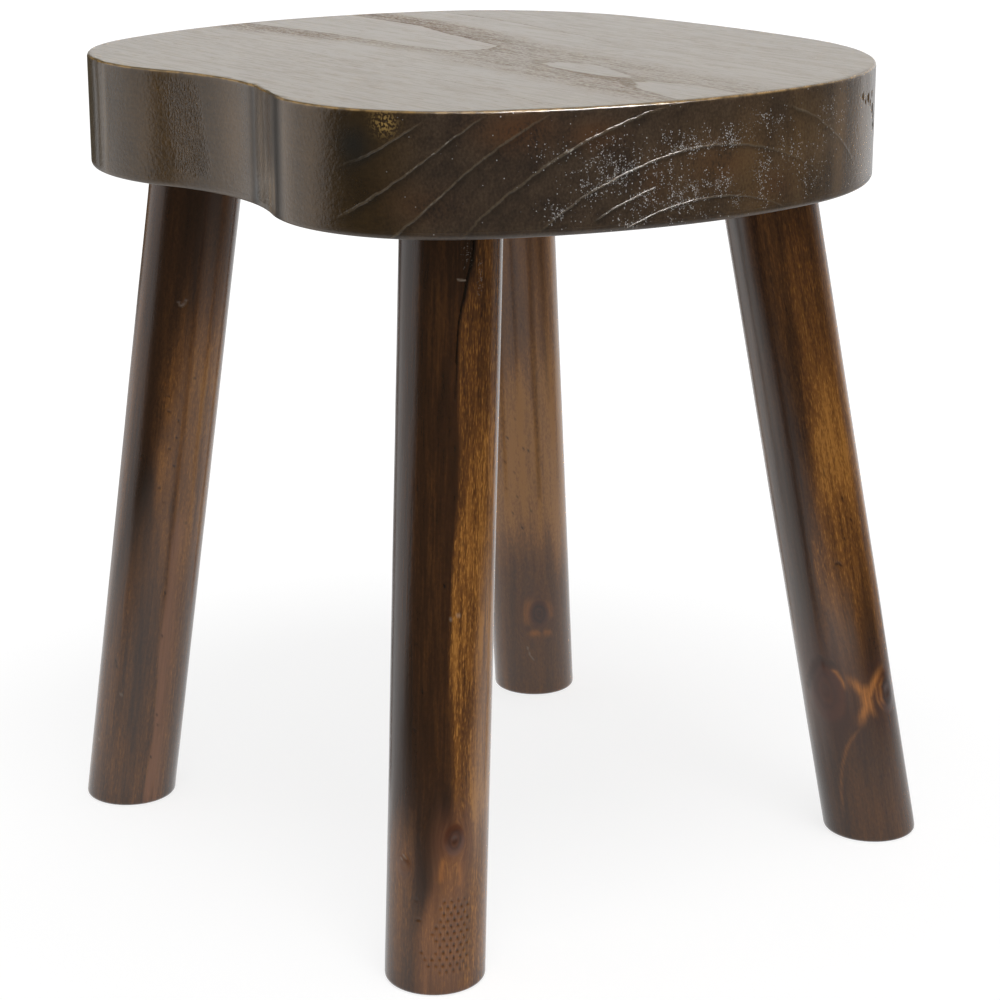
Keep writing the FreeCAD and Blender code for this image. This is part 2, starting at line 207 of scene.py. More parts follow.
# Each leg: tone of its stain from 0, black brown, to 1, gold; lively, how strong the flecks and fine streaks
# are low and high on the leg; bands of other tone as (change, softness of the left edge, (height, left edge,
# right edge)...); washes like the bands, as (kind, strength, softness, stations); spots as (height, angle,
# half height, half width, change); knots as (height, angle, half width, half height, darkness, redness);
# lines as (kind, half width, strength, (height, angle)...); dots as (height, angle); close-ups of its mesh as
# (height or angle, half width, how much closer).
# The grey washes are a painted reflection: the floor seen in the lacquer, painted into the colour. A blush is
# a redder stain.
LEGS = {
    "front_left": {
        "tone": 0.22,
        "lively": (0.8, 0.4),
        "bands": (
            (0.16, 8, ((400, 6, 75), (330, 2, 75), (150, -6, 75))),
            (0.13, 5, ((400, -15, -4), (340, -16, -4), (250, -14, -2))),
            (0.12, 14, ((282, -48, 75), (150, -46, 75))),
            (0.25, 14, ((246, -48, 75), (190, -46, 75), (160, -42, 75), (140, -30, 75))),
            (0.06, 5, ((240, -46, -30), (201, -44, -28), (172, -43, -28), (150, -38, -28))),
            (0.07, 4, ((262, -10, -6), (215, -12, -7), (160, -14, -8))),
            (
                0.26,
                10,
                ((400, -124, -86), (215, -121, -86), (150, -119, -90), (60, -122, -88), (4, -122, -88)),
            ),
            (0.14, 4, ((145, -13, 10), (98, -13, 14), (63, -13, 18), (29, -14, 19), (4, -16, 22))),
            (0.22, 12, ((135, -80, 60), (90, -86, 60), (4, -86, 60))),
            (-0.10, 8, ((130, -44, -30), (4, -46, -32))),
        ),
        "washes": (
            (
                "blush",
                1.15,
                2.5,
                (
                    (150, -14, -4), (125, -14.5, -1), (100, -14, -1), (75, -13.5, 1), (50, -13, 3),
                    (25, -13, 4), (4, -17, 4),
                ),
            ),
            ("painted_reflection", 0.5, 12, ((400, -18, 0), (250, -14, 4), (120, -90, 60), (4, -90, 60))),
        ),
        "spots": (
            (208, -37, 7, 3, -0.16), (184, -60, 16, 4, -0.10), (177, -53, 12, 3, -0.10),
            (162, -40, 8, 3, -0.14), (166, -19, 12, 2.5, -0.20), (146, -14, 12, 2.5, -0.16),
            (99, -46, 20, 4, -0.06),
        ),
        "knots": (),
        "lines": (
            ("dent", 0.5, 1.0, (276.0, -38), (274.2, -36), (273.8, -33), (275.0, -30), (276.6, -29)),
            ("dark", 0.4, 0.8, (82, -74), (78, -69)),
            ("dark", 0.7, 0.3, (230, 14), (190, 15), (150, 17)),
            ("pale", 0.4, 0.6, (64, -62), (64, -58)),
            ("pale", 0.5, 0.5, (35.5, -93), (34.5, -88)),
        ),
        "dots": (
            (227, -38), (219, -36), (214, -22), (205, -22), (199, -30), (190, -22), (236, -8),
            (178, -38), (170, -30), (158, 2), (96, -14), (52, -10), (46, -6), (28, -12), (120, -16),
        ),
        "close_heights": ((275, 8, 2.0), (210, 30, 0.6)),
        "close_angles": ((-35, 45, 0.8),),
    },
    "front_right": {
        "tone": 0.21,
        "lively": (0.6, 1.0),
        "bands": (
            (
                0.33,
                3,
                (
                    (390, -6, 75), (352, -6, 75), (330, -13, 75), (304, -25, 75), (256, -24, 75),
                    (212, -27, 75), (177, -30, 75), (150, -27, 75), (131, -24, 75), (108, -20, 75),
                    (84, -20, 75),
                ),
            ),
            (
                0.16,
                5,
                (
                    (250, -2, 75), (226, -14, 65), (206, -27, 55), (178, -30, 0), (153, -29, -8),
                    (131, -28, -12), (108, -25, -14), (94, -24, -16),
                ),
            ),
            (0.11, 8, ((350, -72, -20), (318, -72, -28), (296, -72, -30))),
            (0.08, 6, ((240, -60, -36), (205, -54, -38), (165, -54, -36))),
            (0.07, 6, ((150, -70, -36), (110, -66, -34), (92, -62, -40))),
            (0.28, 9, ((178, 8, 75), (150, -2, 75), (100, -4, 75), (84, -8, 75))),
            (0.38, 12, ((66, -30, 60), (52, -36, 60), (44, -45, 60), (29, -56, 60), (3, -58, 60))),
            (0.14, 6, ((88, -2, 75), (40, 6, 75), (3, 6, 75))),
            (0.26, 8, ((74, -112, -64), (26, -112, -60), (3, -112, -60))),
        ),
        "washes": (
            ("painted_reflection", 1.35, 9, ((190, 8, 75), (150, 4, 75), (120, 2, 75), (70, 4, 75))),
            ("painted_reflection", 0.4, 9, ((66, -112, -66), (4, -112, -62))),
            ("blush", 0.6, 8, ((70, -44, 4), (50, -44, 0), (28, -56, -8), (4, -56, -8))),
        ),
        "spots": (
            (86, -30, 8, 5, -0.14), (53, -50, 14, 5, -0.08), (60, -28, 6, 2, 0.2),
            (62, -14, 7, 3, 0.14), (330, -50, 18, 8, -0.06),
        ),
        "knots": ((72, -18.5, 4.6, 6.6, 0.7, 1.0), (58.3, -77.9, 3.5, 4.5, 0.35, 0.5)),
        "lines": (
            (
                "crack", 0.5, 0.9, (347, -8.0), (338.9, -10.5), (333, -11.2), (328.5, -13.6),
                (323.1, -17.1), (312.2, -22.2), (303.4, -26.1),
            ),
            ("crack", 0.45, 0.8, (303.4, -26.1), (294.5, -27.5), (285, -28.0)),
            ("crack", 0.35, 0.5, (285, -28.0), (278, -28.2), (269.6, -28.6)),
            # A painted highlight: the bright dash of a reflection
            ("pale", 0.32, 0.9, (321.9, -29), (321.5, -20)),
            ("pale", 0.3, 0.6, (61.5, -81), (63.0, -78), (62.4, -74)),
            ("pale", 0.3, 0.5, (172, -30), (174, -20), (173, -14)),
            ("orange", 0.9, 0.5, (66, -30), (58, -33), (51, -34)),
            ("orange", 0.8, 0.35, (63, -12), (55, -10), (48, -12)),
            ("pale", 0.7, 0.3, (181, -118), (177, -116)),
        ),
        "dots": (
            (248, -28), (215, -18), (206, -16), (187, -36), (160, -66), (140, -58), (121, -68),
            (230, -70),
        ),
        "close_heights": ((26, 20, 2.6), (72, 10, 1.6), (318, 24, 1.6), (285, 20, 0.6)),
        "close_angles": ((-20, 22, 2.6), (-50, 24, 0.8)),
    },
    "back_right": {
        "tone": 0.26,
        "lively": (0.35, 0.65),
        "bands": (
            (
                0.16,
                14,
                (
                    (380, -72, 75), (292, -70, 75), (266, -68, 75), (240, -62, 75), (218, -56, 75),
                    (196, -56, 75), (180, -58, 75), (130, -56, 75),
                ),
            ),
            (
                0.14,
                10,
                ((310, -30, 30), (266, -28, 34), (224, -38, 40), (180, -44, 40), (150, -40, 30)),
            ),
            (0.26, 8, ((232, -24, 8), (218, -31, 14), (202, -36, 20), (184, -39, 18))),
            (0.20, 3, ((158, -57, -43), (140, -60, -44), (122, -61, -45))),
            (0.22, 6, ((146, 14, 75), (110, 14, 75), (96, 16, 75))),
            (0.20, 8, ((330, -130, -106), (180, -130, -102), (60, -130, -98))),
            (0.30, 8, ((400, 30, 75), (300, 26, 75), (160, 30, 75))),
            (0.25, 10, ((140, -46, 0), (110, -50, -8), (92, -46, -12))),
            (0.10, 10, ((60, -60, 60), (30, -60, 60), (3, -60, 60))),
        ),
        "washes": (
            ("painted_reflection", 1.1, 8, ((126, -54, -22), (110, -56, -22), (96, -54, -26))),
            ("painted_reflection", 2.4, 10, ((400, -128, -84), (150, -124, -80), (60, -124, -80))),
        ),
        "spots": (
            (134, -27, 14, 6, -0.10), (110, -22, 14, 5, -0.06), (80, -72, 16, 9, 0.06),
            (66, -64, 6, 8, -0.08),
        ),
        "knots": ((82, -70, 9.2, 15.0, 0.5, 0.9), (80, 15, 7.0, 10.5, 0.9, 0.8)),
        "lines": (
            ("orange", 1.7, 1.0, (93, -44), (87, -31), (81, -22), (75, -21), (69, -28), (61, -36)),
            ("orange", 1.5, 1.0, (96, 20), (90, 2), (85, -8), (79, -17), (73, -16), (66, -8)),
            ("orange", 2.4, 0.9, (88, -20), (79, -19.5), (70, -20)),
            ("orange", 0.7, 0.7, (94.5, -60), (93, -52), (88, -46), (82, -43)),
            (
                "orange", 0.5, 0.4, (70, -27), (62, -36), (57, -46), (52, -54), (41, -64), (29, -70),
                (17, -73), (6, -74),
            ),
            ("orange", 0.8, 0.7, (90, 14), (84, 3), (77, 2), (72, 8)),
            ("orange", 0.6, 0.6, (93, 12), (86, -3), (77, -4), (69, 5)),
            ("dark", 2.2, 0.45, (82, -98), (90, -87), (95.5, -79), (99, -68), (97, -58)),
            ("dark", 1.3, 0.18, (152, 4), (138, 1.5), (110, -2), (94, -3.5)),
            ("dark", 0.5, 0.8, (150.5, -31), (151.2, -28), (149.5, -25)),
        ),
        "dots": (
            (197, -28.9), (198.5, -28.4), (184.7, -10), (183.4, -9), (172, -2), (163, -16), (290, -8),
            (284, -12),
        ),
        "close_heights": ((80, 22, 2.0), (150, 5, 0.6)),
        "close_angles": ((-25, 45, 1.0),),
    },
    "back_left": {
        "tone": 0.63,
        "lively": (0.2, 0.25),
        "bands": (
            (0.23, 16, ((200, -120, 75), (108, -120, 75))),
            (0.06, 12, ((190, -74, -34), (110, -78, -30))),
            (0.12, 12, ((290, 16, 75), (180, 8, 75), (121, 8, 75), (96, 10, 75))),
            (-0.06, 6, ((346, -44, -30), (253, -44, -30), (215, -40, -32))),
            (-0.14, 14, ((86, -110, 60), (40, -110, 60), (3, -110, 60))),
        ),
        "washes": (
            ("painted_reflection", 0.6, 14, ((400, -120, 75), (90, -120, 75))),
            ("painted_reflection", 0.4, 14, ((90, -120, 75), (3, -120, 75))),
        ),
        "spots": ((88, -30, 8, 10, -0.06), (54, -26, 14, 10, -0.05)),
        "knots": ((54, -26, 5.6, 8.2, 0.8, 0.9),),
        "lines": (
            ("orange", 1.6, 0.5, (66, -34), (61, -41), (55, -45), (49, -45), (44, -42)),
            ("orange", 1.8, 0.65, (43.5, -42), (41.2, -37), (41.5, -30), (43, -26)),
            ("orange", 1.5, 0.6, (42.5, -22), (40.5, -14), (42, -6)),
            ("orange", 1.3, 0.3, (63, -15), (56, -8), (48, -7)),
            ("dark", 1.3, 0.22, (346, -14), (272, -14.2), (226, -17), (187, -16.5), (128, -18)),
            ("dark", 1.3, 0.18, (346, 0), (272, 1), (225, 1), (186, 5)),
            ("pale", 0.3, 0.6, (32, -45), (27, -42), (24, -37)),
        ),
        "dots": (
            (176, -48), (165, -60), (158, -38), (157, -30), (144, -53), (137, -25), (150, -66),
            (128, -50), (118, -58), (120, -30), (109, -44), (133, -64),
        ),
        "close_heights": ((54, 18, 1.5),),
        "close_angles": ((-30, 45, 0.6),),
    },
}
# Rows of punched dimples low on the front right leg: heights, angles of the full rows and of the sparse ones
# beside them, and half pitch and half size of a dimple, across and along
DIMPLE_LEG = "front_right"
DIMPLE_HEIGHTS = (9.0, 44.0)
DIMPLE_ANGLES = (-34.0, 4.0)
DIMPLE_FIELD = (-62.0, -34.0)
DIMPLE_PITCH = (1.66, 2.95)
DIMPLE_HALF_SIZE = (0.55, 0.95)
# Lacquer bubbles round the top of that leg's crack, with painted glints: height, angle, half height, half
# width, strength
BUBBLES = ((331, -19, 9, 4.0, 1.0), (322, -3, 14, 3.5, 0.85))

# Colours of the wood and its marks, as linear red, green and blue. A stain is a row of (tone, colour).
TOP_STAIN = ((0.3, (0.080, 0.050, 0.014)), (0.7, (0.114, 0.075, 0.021)))
TOP_PORES = (0.070, 0.034, 0.018)
LONG_SIDE_STAIN = (
    (0.36, (0.035, 0.019, 0.006)), (0.5, (0.054, 0.029, 0.008)), (0.64, (0.076, 0.042, 0.013)),
)
END_STAIN = (
    (0.36, (0.028, 0.0185, 0.0135)), (0.5, (0.045, 0.0295, 0.019)), (0.64, (0.067, 0.044, 0.027)),
)
RED_STAIN = (0.098, 0.040, 0.014)
# Hazy lacquer with painted sheen, painted shade and painted highlight streaks of the side: field, least
# share, strength, colour
SIDE_PAINT = (
    ("bloom_and_sheen", 0.2, 0.8, (0.165, 0.092, 0.034)),
    ("shade", 0.5, 1.0, (0.010, 0.007, 0.004)),
    ("streak", 0.4, 1.0, (0.22, 0.15, 0.085)),
)
# Painted shade beneath the veins, the veins' own colour, and painted highlights on the veins and the bubbles
VEIN_SHADOW = (0.010, 0.008, 0.006)
VEIN_COLOUR = (0.112, 0.082, 0.050)
VEIN_GLEAM = (0.66, 0.62, 0.54)
GLINT_COLOUR = (0.66, 0.64, 0.62)
WORN_WOOD = (0.40, 0.25, 0.07)
WORN_EDGE = (0.42, 0.25, 0.08)
INK_COLOUR = (0.010, 0.013, 0.014)
WRINKLE_SHADOW = (0.012, 0.009, 0.006)
POLE_STAIN = (
    (0.02, (0.012, 0.006, 0.003)), (0.25, (0.039, 0.015, 0.005)), (0.45, (0.096, 0.036, 0.008)),
    (0.68, (0.193, 0.073, 0.013)), (0.95, (0.37, 0.158, 0.028)),
)
POLE_BLUSH = (0.225, 0.095, 0.043)
# Painted reflection: the grey of the floor seen in the poles' lacquer
POLE_PAINTED_REFLECTION = (0.30, 0.285, 0.27)
KNOT_RED = (0.100, 0.028, 0.013)
KNOT_CORE = (0.018, 0.009, 0.007)
ORANGE_GLOW = (0.46, 0.17, 0.032)
# Dark marks, and painted shade in the cracks and dimples
DARK_MARK_AND_SHADE_COLOUR = (0.010, 0.006, 0.004)
# Pale scratches, and a painted highlight dash on the front right leg
SCRATCH_AND_HIGHLIGHT_COLOUR = (0.32, 0.26, 0.20)
# Painted glints on the lacquer bubbles
BUBBLE_GLINT_COLOUR = (0.50, 0.47, 0.43)
WEDGE_STAIN = ((0.3, (0.36, 0.23, 0.12)), (0.7, (0.58, 0.43, 0.27)))


def smooth_step(low, high, value):
    """A smooth step from 0 at low to 1 at high, either way round."""
    share = np.clip((value - low) / (high - low), 0.0, 1.0)
    return share * share * (3.0 - 2.0 * share)


def bell(distance, width):
    """1 at no distance, falling off smoothly over a width."""
    return np.exp(-((distance / width) ** 2))


def turned(degrees):
    """Angles brought to the range from -180 to 180 degrees."""
    return (degrees + 180.0) % 360.0 - 180.0


def swell(points, seed=0):
    """Smooth noise from -1 to 1 at 3-D points, about one swell per unit and the same on every run."""
    cell = np.floor(points).astype(np.int64)
    share = points - cell
    share = share * share * (3.0 - 2.0 * share)
    total = np.zeros(len(points))
    for corner in np.ndindex(2, 2, 2):
        step = np.array(corner)
        key = (cell + step) @ np.array([73856093, 19349663, 83492791]) + seed * 7919
        key = ((key ^ (key >> 13)) * 1274126177) & 0x7FFFFFFF
        key = ((key ^ (key >> 15)) * 668265263) & 0x7FFFFFFF
        total += (key % 65536 / 32768.0 - 1.0) * np.prod(np.where(step == 1, share, 1.0 - share), axis=1)
    return total


def node_points(node):
    """The places of a solid's vertices, in millimetres."""
    mesh = frame["nodes"][node].data
    places = np.empty(len(mesh.vertices) * 3, np.float32)
    mesh.vertices.foreach_get("co", places)
    return places.reshape(-1, 3).astype(float) / MM


def closed_spline(points, count):
    """Evenly spread points on the smooth closed curve through the given points."""
    size = len(points)
    rows = np.arange(size)
    steps = np.linalg.norm(np.roll(points, -1, 0) - points, axis=1)
    before = np.roll(steps, 1)
    matrix = np.zeros((size, size))
    matrix[rows, rows] = 2.0 * (before + steps)
    matrix[rows, (rows + 1) % size] = steps
    matrix[rows, rows - 1] = before
    slopes = (np.roll(points, -1, 0) - points) / steps[:, None]
    bends = np.linalg.solve(matrix, 6.0 * (slopes - np.roll(slopes, 1, 0)))
    starts = np.concatenate([[0.0], np.cumsum(steps)])
    along = np.linspace(0.0, starts[-1], count, endpoint=False)
    piece = np.searchsorted(starts, along, side="right") - 1
    after = (piece + 1) % size
    step = steps[piece][:, None]
    done = (along - starts[piece])[:, None]
    left = step - done
    curve = (bends[piece] * left**3 + bends[after] * done**3) / (6.0 * step)
    curve += (points[piece] / step - bends[piece] * step / 6.0) * left
    return curve + (points[after] / step - bends[after] * step / 6.0) * done


def spread(low, high, pitch, close_ups):
    """Stations about a pitch apart, drawn closer together round each (centre, half width, times)."""
    dense = np.linspace(low, high, 4000)
    weight = np.ones(len(dense))
    for centre, half_width, times in close_ups:
        weight += times * bell(dense - centre, half_width)
    total = np.concatenate([[0.0], np.cumsum((weight[1:] + weight[:-1]) / 2.0 * np.diff(dense))])
    count = int(round(total[-1] / pitch))
    return np.interp(np.linspace(0.0, total[-1], count + 1), total, dense)


def make_piece(name, points, faces, attributes, material, node):
    """A mesh piece that stands for a solid, with its painted fields as vertex attributes."""
    mesh = bpy.data.meshes.new(name)
    mesh.from_pydata((points * MM).tolist(), [], faces)
    for label, values in attributes.items():
        vector = values.ndim == 2
        layer = mesh.attributes.new(label, "FLOAT_VECTOR" if vector else "FLOAT", "POINT")
        layer.data.foreach_set("vector" if vector else "value", values.astype(np.float32).ravel())
    work = bmesh.new()
    work.from_mesh(mesh)
    bmesh.ops.remove_doubles(work, verts=work.verts, dist=JOIN_DISTANCE)
    bmesh.ops.recalc_face_normals(work, faces=work.faces)
    work.to_mesh(mesh)
    work.free()
    mesh.shade_smooth()
    mesh.set_sharp_from_angle(angle=math.radians(SHARP_DEGREES))
    mesh.materials.append(material)
    piece = bpy.data.objects.new(name, mesh)
    bpy.context.scene.collection.objects.link(piece)
    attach(piece, "root")
    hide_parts(node)


def filled(outer, holes, inner=()):
    """Triangles that fill a flat outline with holes. Loops and inner points are lists of 2-D points.
    Gives the points and the triangles, with the outer loop first and the holes after it."""
    places = [Vector(p) for p in outer]
    edges = [(i, (i + 1) % len(outer)) for i in range(len(outer))]
    for hole in holes:
        first = len(places)
        edges += [(first + i, first + (i + 1) % len(hole)) for i in range(len(hole))]
        places += [Vector(p) for p in hole]
    places += [Vector(p) for p in inner]
    found = delaunay_2d_cdt(places, edges, [], 2, 1e-7)
    return np.array([list(p) for p in found[0]]), [list(face) for face in found[2]]


def taken_over(node, inside, level):
    """Faces of a solid whose corners are all inside, apart from the flat ones at a level: their points, the
    faces, and the points at that level."""
    places = node_points(node)
    flat = np.abs(places[:, 2] - level) < ON_FLAT
    chosen = []
    for polygon in frame["nodes"][node].data.polygons:
        corners = list(polygon.vertices)
        if inside[corners].all() and not flat[corners].all():
            chosen.append(corners)
    used = np.unique(np.concatenate(chosen))
    new_index = {old: new for new, old in enumerate(used)}
    faces = [[new_index[c] for c in corners] for corners in chosen]
    return places[used], faces, places[used][flat[used], :2]


def shifted(faces, first):
    """Faces that count their points from a first one."""
    return [[corner + first for corner in face] for face in faces]


def at_height(places, height):
    """2-D points at one height."""
    return np.column_stack([places, np.full(len(places), height)])


def quarter_round(radius, rows):
    """Rows of a quarter round from a flat face to a side: inset from the side, and way from the face."""
    turns = np.linspace(0.0, math.pi / 2, rows)
    return [(radius * (1 - math.sin(turn)), radius * (1 - math.cos(turn))) for turn in turns]


def loop_about(places, centre):
    """Distinct 2-D points in their order round a centre."""
    loop = np.unique(np.round(places, 4), axis=0)
    away = loop - centre
    return loop[np.argsort(np.arctan2(away[:, 1], away[:, 0]))]


class Outline:
    """The slab's outline, read from its solid, as points and outward normals at angles round the slab."""

    def __init__(self):
        places = node_points("seat_slab")
        self.top = places[:, 2].max()
        self.bottom = places[:, 2].min()
        wall = places[np.abs(places[:, 2] - (self.top - TOP_EDGE_ROUND)) < ON_LEVEL, :2]
        wall = wall[np.argsort(np.arctan2(wall[:, 1], wall[:, 0]))]
        apart = np.linalg.norm(wall - np.roll(wall, 1, 0), axis=1) > ON_LEVEL
        self.points = closed_spline(wall[apart], OUTLINE_POINTS)
        along = np.roll(self.points, -1, 0) - np.roll(self.points, 1, 0)
        along /= np.linalg.norm(along, axis=1)[:, None]
        self.normals = np.column_stack([along[:, 1], -along[:, 0]])
        self.angles = np.degrees(np.arctan2(self.points[:, 1], self.points[:, 0]))

    def read(self, values, angles):
        """Values of the outline's points, read at other angles."""
        return np.interp(turned(angles), self.angles, values, period=360.0)

    def at(self, angles):
        """Points and outward normals of the outline at angles."""
        point = np.column_stack([self.read(self.points[:, k], angles) for k in (0, 1)])
        normal = np.column_stack([self.read(self.normals[:, k], angles) for k in (0, 1)])
        return point, normal / np.linalg.norm(normal, axis=1)[:, None]

    def columns(self, count, first_angle, close_ups):
        """Angles of even columns, drawn closer together round each close-up (angle, width, times)."""
        order = np.argsort((self.angles - first_angle) % 360.0)
        angles = (self.angles[order] - first_angle) % 360.0
        points = self.points[order]
        weight = np.linalg.norm(np.roll(points, -1, 0) - points, axis=1)
        for centre, width, times in close_ups:
            weight *= 1.0 + times * bell(turned(angles + first_angle - centre), width)
        total = np.concatenate([[0.0], np.cumsum(weight)])
        ends = np.append(angles, 360.0 + angles[0])
        return first_angle + np.interp(np.arange(count) / count * total[-1], total, ends)


def ring_index(points):
    """How many growth rings lie between the pith and each point, with the boundaries at whole numbers, and
    how far behind the pith the point lies."""
    x, y, z = points.T
    half_width = np.array(TONGUE_HALF_WIDTHS, float)
    opening = np.interp(x, TONGUE_STATIONS, half_width * np.abs(half_width))
    at_end = smooth_step(*END_STARTS, x) * (z < seat.top - 1.0)
    pith, pith_depth = END_PITH
    depth = np.sqrt(TONGUE_RING**2 - opening) * (1.0 - at_end) + pith_depth * at_end
    across = y - np.interp(x, PITH_STATIONS, PITH_Y) * (1.0 - at_end) - pith * at_end
    radius = np.hypot(across, z - seat.top + depth)
    for reach, sizes, seed in RING_WAVES:
        radius += reach * swell(points / np.array(sizes), seed)
    return np.interp(radius, RING_RADII, np.arange(len(RING_RADII))), across


def side_relief(angle, height, along):
    """How far the seat's side stands out at an angle and a height. along is the distance round the slab."""
    relief = np.zeros_like(along)
    for reach, round_size, upward_size, seed in SIDE_WAVES:
        places = np.column_stack([along / round_size, height / upward_size, np.zeros_like(along)])
        relief += reach * swell(places, seed)
    for centre, width, rise in FLUTES:
        wander = 1.5 * swell(np.column_stack([height / 25.0, np.full_like(height, centre), 0 * height]), 5)
        relief += rise * bell(arc_from(angle, centre) + wander, width)
    for centre, level, radius in PITS:
        distance = np.hypot(arc_from(angle, centre), height - level)
        relief -= 0.9 * radius * smooth_step(radius * 1.25, radius * 0.35, distance)
    centre, level, radius = BOTTOM_NICK
    relief -= 0.8 * smooth_step(radius, 0.2, np.hypot(1.6 * arc_from(angle, centre), height - level))
    return relief


def arc_from(angle, centre):
    """Distance round the slab's side from an angle, in millimetres."""
    reach = np.linalg.norm(seat.at(np.array([centre]))[0][0])
    return np.radians(turned(angle - centre)) * reach


def square_ring(cells):
    """For each point of a square grid, its share of the way out and its place round its ring."""
    half = cells // 2
    a, b = np.meshgrid(np.arange(cells + 1) - half, np.arange(cells + 1) - half, indexing="ij")
    ring = np.maximum(np.abs(a), np.abs(b))
    safe = np.maximum(ring, 1)
    turn = np.select(
        [(a == ring) & (b < ring), (b == ring) & (a > -ring), (a == -ring) & (b > -ring)],
        [(b + ring), 2 * safe + (ring - a), 4 * safe + (ring - b)],
        6 * safe + (a + ring),
    ) / (8.0 * safe)
    return (ring / half).ravel(), turn.ravel()


def build_seat(material):
    """The slab: its top, its side with the relief, and its underside with the mortises."""
    count = 4 * TOP_CELLS
    angles = seat.columns(count, FIRST_COLUMN, SEAT_CLOSE_UPS)
    wall, normal = seat.at(angles)
    along = np.concatenate([[0.0], np.cumsum(np.linalg.norm(np.diff(wall, axis=0), axis=1))])

    # The top: a square grid drawn out to the outline, so that no point gathers slivers
    share, turn = square_ring(TOP_CELLS)
    rim_angle = np.interp(turn, np.arange(count + 1) / count, np.append(angles, angles[0] + 360.0))
    rim, rim_normal = seat.at(rim_angle)
    flat = (rim - rim_normal * TOP_EDGE_ROUND) * share[:, None]
    points = [at_height(flat, seat.top)]
    size = TOP_CELLS + 1
    corner = (np.arange(TOP_CELLS)[:, None] * size + np.arange(TOP_CELLS)[None, :]).ravel()
    faces = np.column_stack([corner, corner + size, corner + size + 1, corner + 1]).tolist()
    on_rim = np.flatnonzero(share > 1.0 - 1e-9)
    last = on_rim[np.argsort(turn[on_rim])]

    # The side: rows from the top edge's round to the bottom edge's round, as inset and height
    top_round = quarter_round(TOP_EDGE_ROUND, ROUND_ROWS + 1)[1:]
    bottom_round = quarter_round(BOTTOM_EDGE_ROUND, ROUND_ROWS + 1)[:-1]
    low = seat.bottom + BOTTOM_EDGE_ROUND
    profile = [(inset, seat.top - drop) for inset, drop in top_round]
    profile += [(0.0, z) for z in np.linspace(seat.top - TOP_EDGE_ROUND, low, WALL_ROWS + 1)[1:]]
    profile += [(inset, seat.bottom + rise) for inset, rise in reversed(bottom_round)]
    total = len(flat)
    for inset, height in profile:
        level = np.full(count, height)
        relief = side_relief(angles, level, along) * smooth_step(0.0, 3.0, height - seat.bottom)
        relief *= 1.0 - inset / BOTTOM_EDGE_ROUND if height < low else 1.0
        edge_wear = smooth_step(seat.top - 4.0, seat.top - 0.5, level)
        relief -= 0.25 * edge_wear * np.abs(swell(np.column_stack([along / 5.0, level, level]), 6))
        points.append(np.column_stack([wall + normal * (relief - inset)[:, None], level]))
        row = np.arange(total, total + count)
        faces += np.column_stack([last, row, np.roll(row, -1), np.roll(last, -1)]).tolist()
        last = row
        total += count

    # The underside, with the mortises taken over from the solid
    solid = node_points("seat_slab")
    mouth_middles = [leg.shoulder[:2] for leg in legs.values()]
    near = np.min([np.linalg.norm(solid[:, :2] - middle, axis=1) for middle in mouth_middles], axis=0)
    inside = (near < MORTISE_REACH) & (solid[:, 2] < seat.top - 5.0)
    pockets, pocket_faces, at_mouth = taken_over("seat_slab", inside, seat.bottom)
    mouths = [loop_about(at_mouth[np.linalg.norm(at_mouth - middle, axis=1) < MORTISE_REACH], middle)
              for middle in mouth_middles]
    lattice = np.arange(-UNDERSIDE_HALF, UNDERSIDE_HALF, UNDERSIDE_PITCH)
    inner = np.array([(x, y) for x in lattice for y in lattice])
    reach = seat.read(np.linalg.norm(seat.points, axis=1), np.degrees(np.arctan2(inner[:, 1], inner[:, 0])))
    keep = np.linalg.norm(inner, axis=1) < reach - UNDERSIDE_PITCH
    for middle in mouth_middles:
        keep &= np.linalg.norm(inner - middle, axis=1) > MORTISE_REACH
    spots, triangles = filled(points[-1][:, :2], mouths, inner[keep])
    points.append(at_height(spots, seat.bottom))
    faces += shifted(triangles, total)
    total += len(spots)
    points.append(pockets)
    faces += shifted(pocket_faces, total)
    points = np.vstack(points)
    make_piece("seat", points, faces, seat_fields(points), material, "seat_slab")


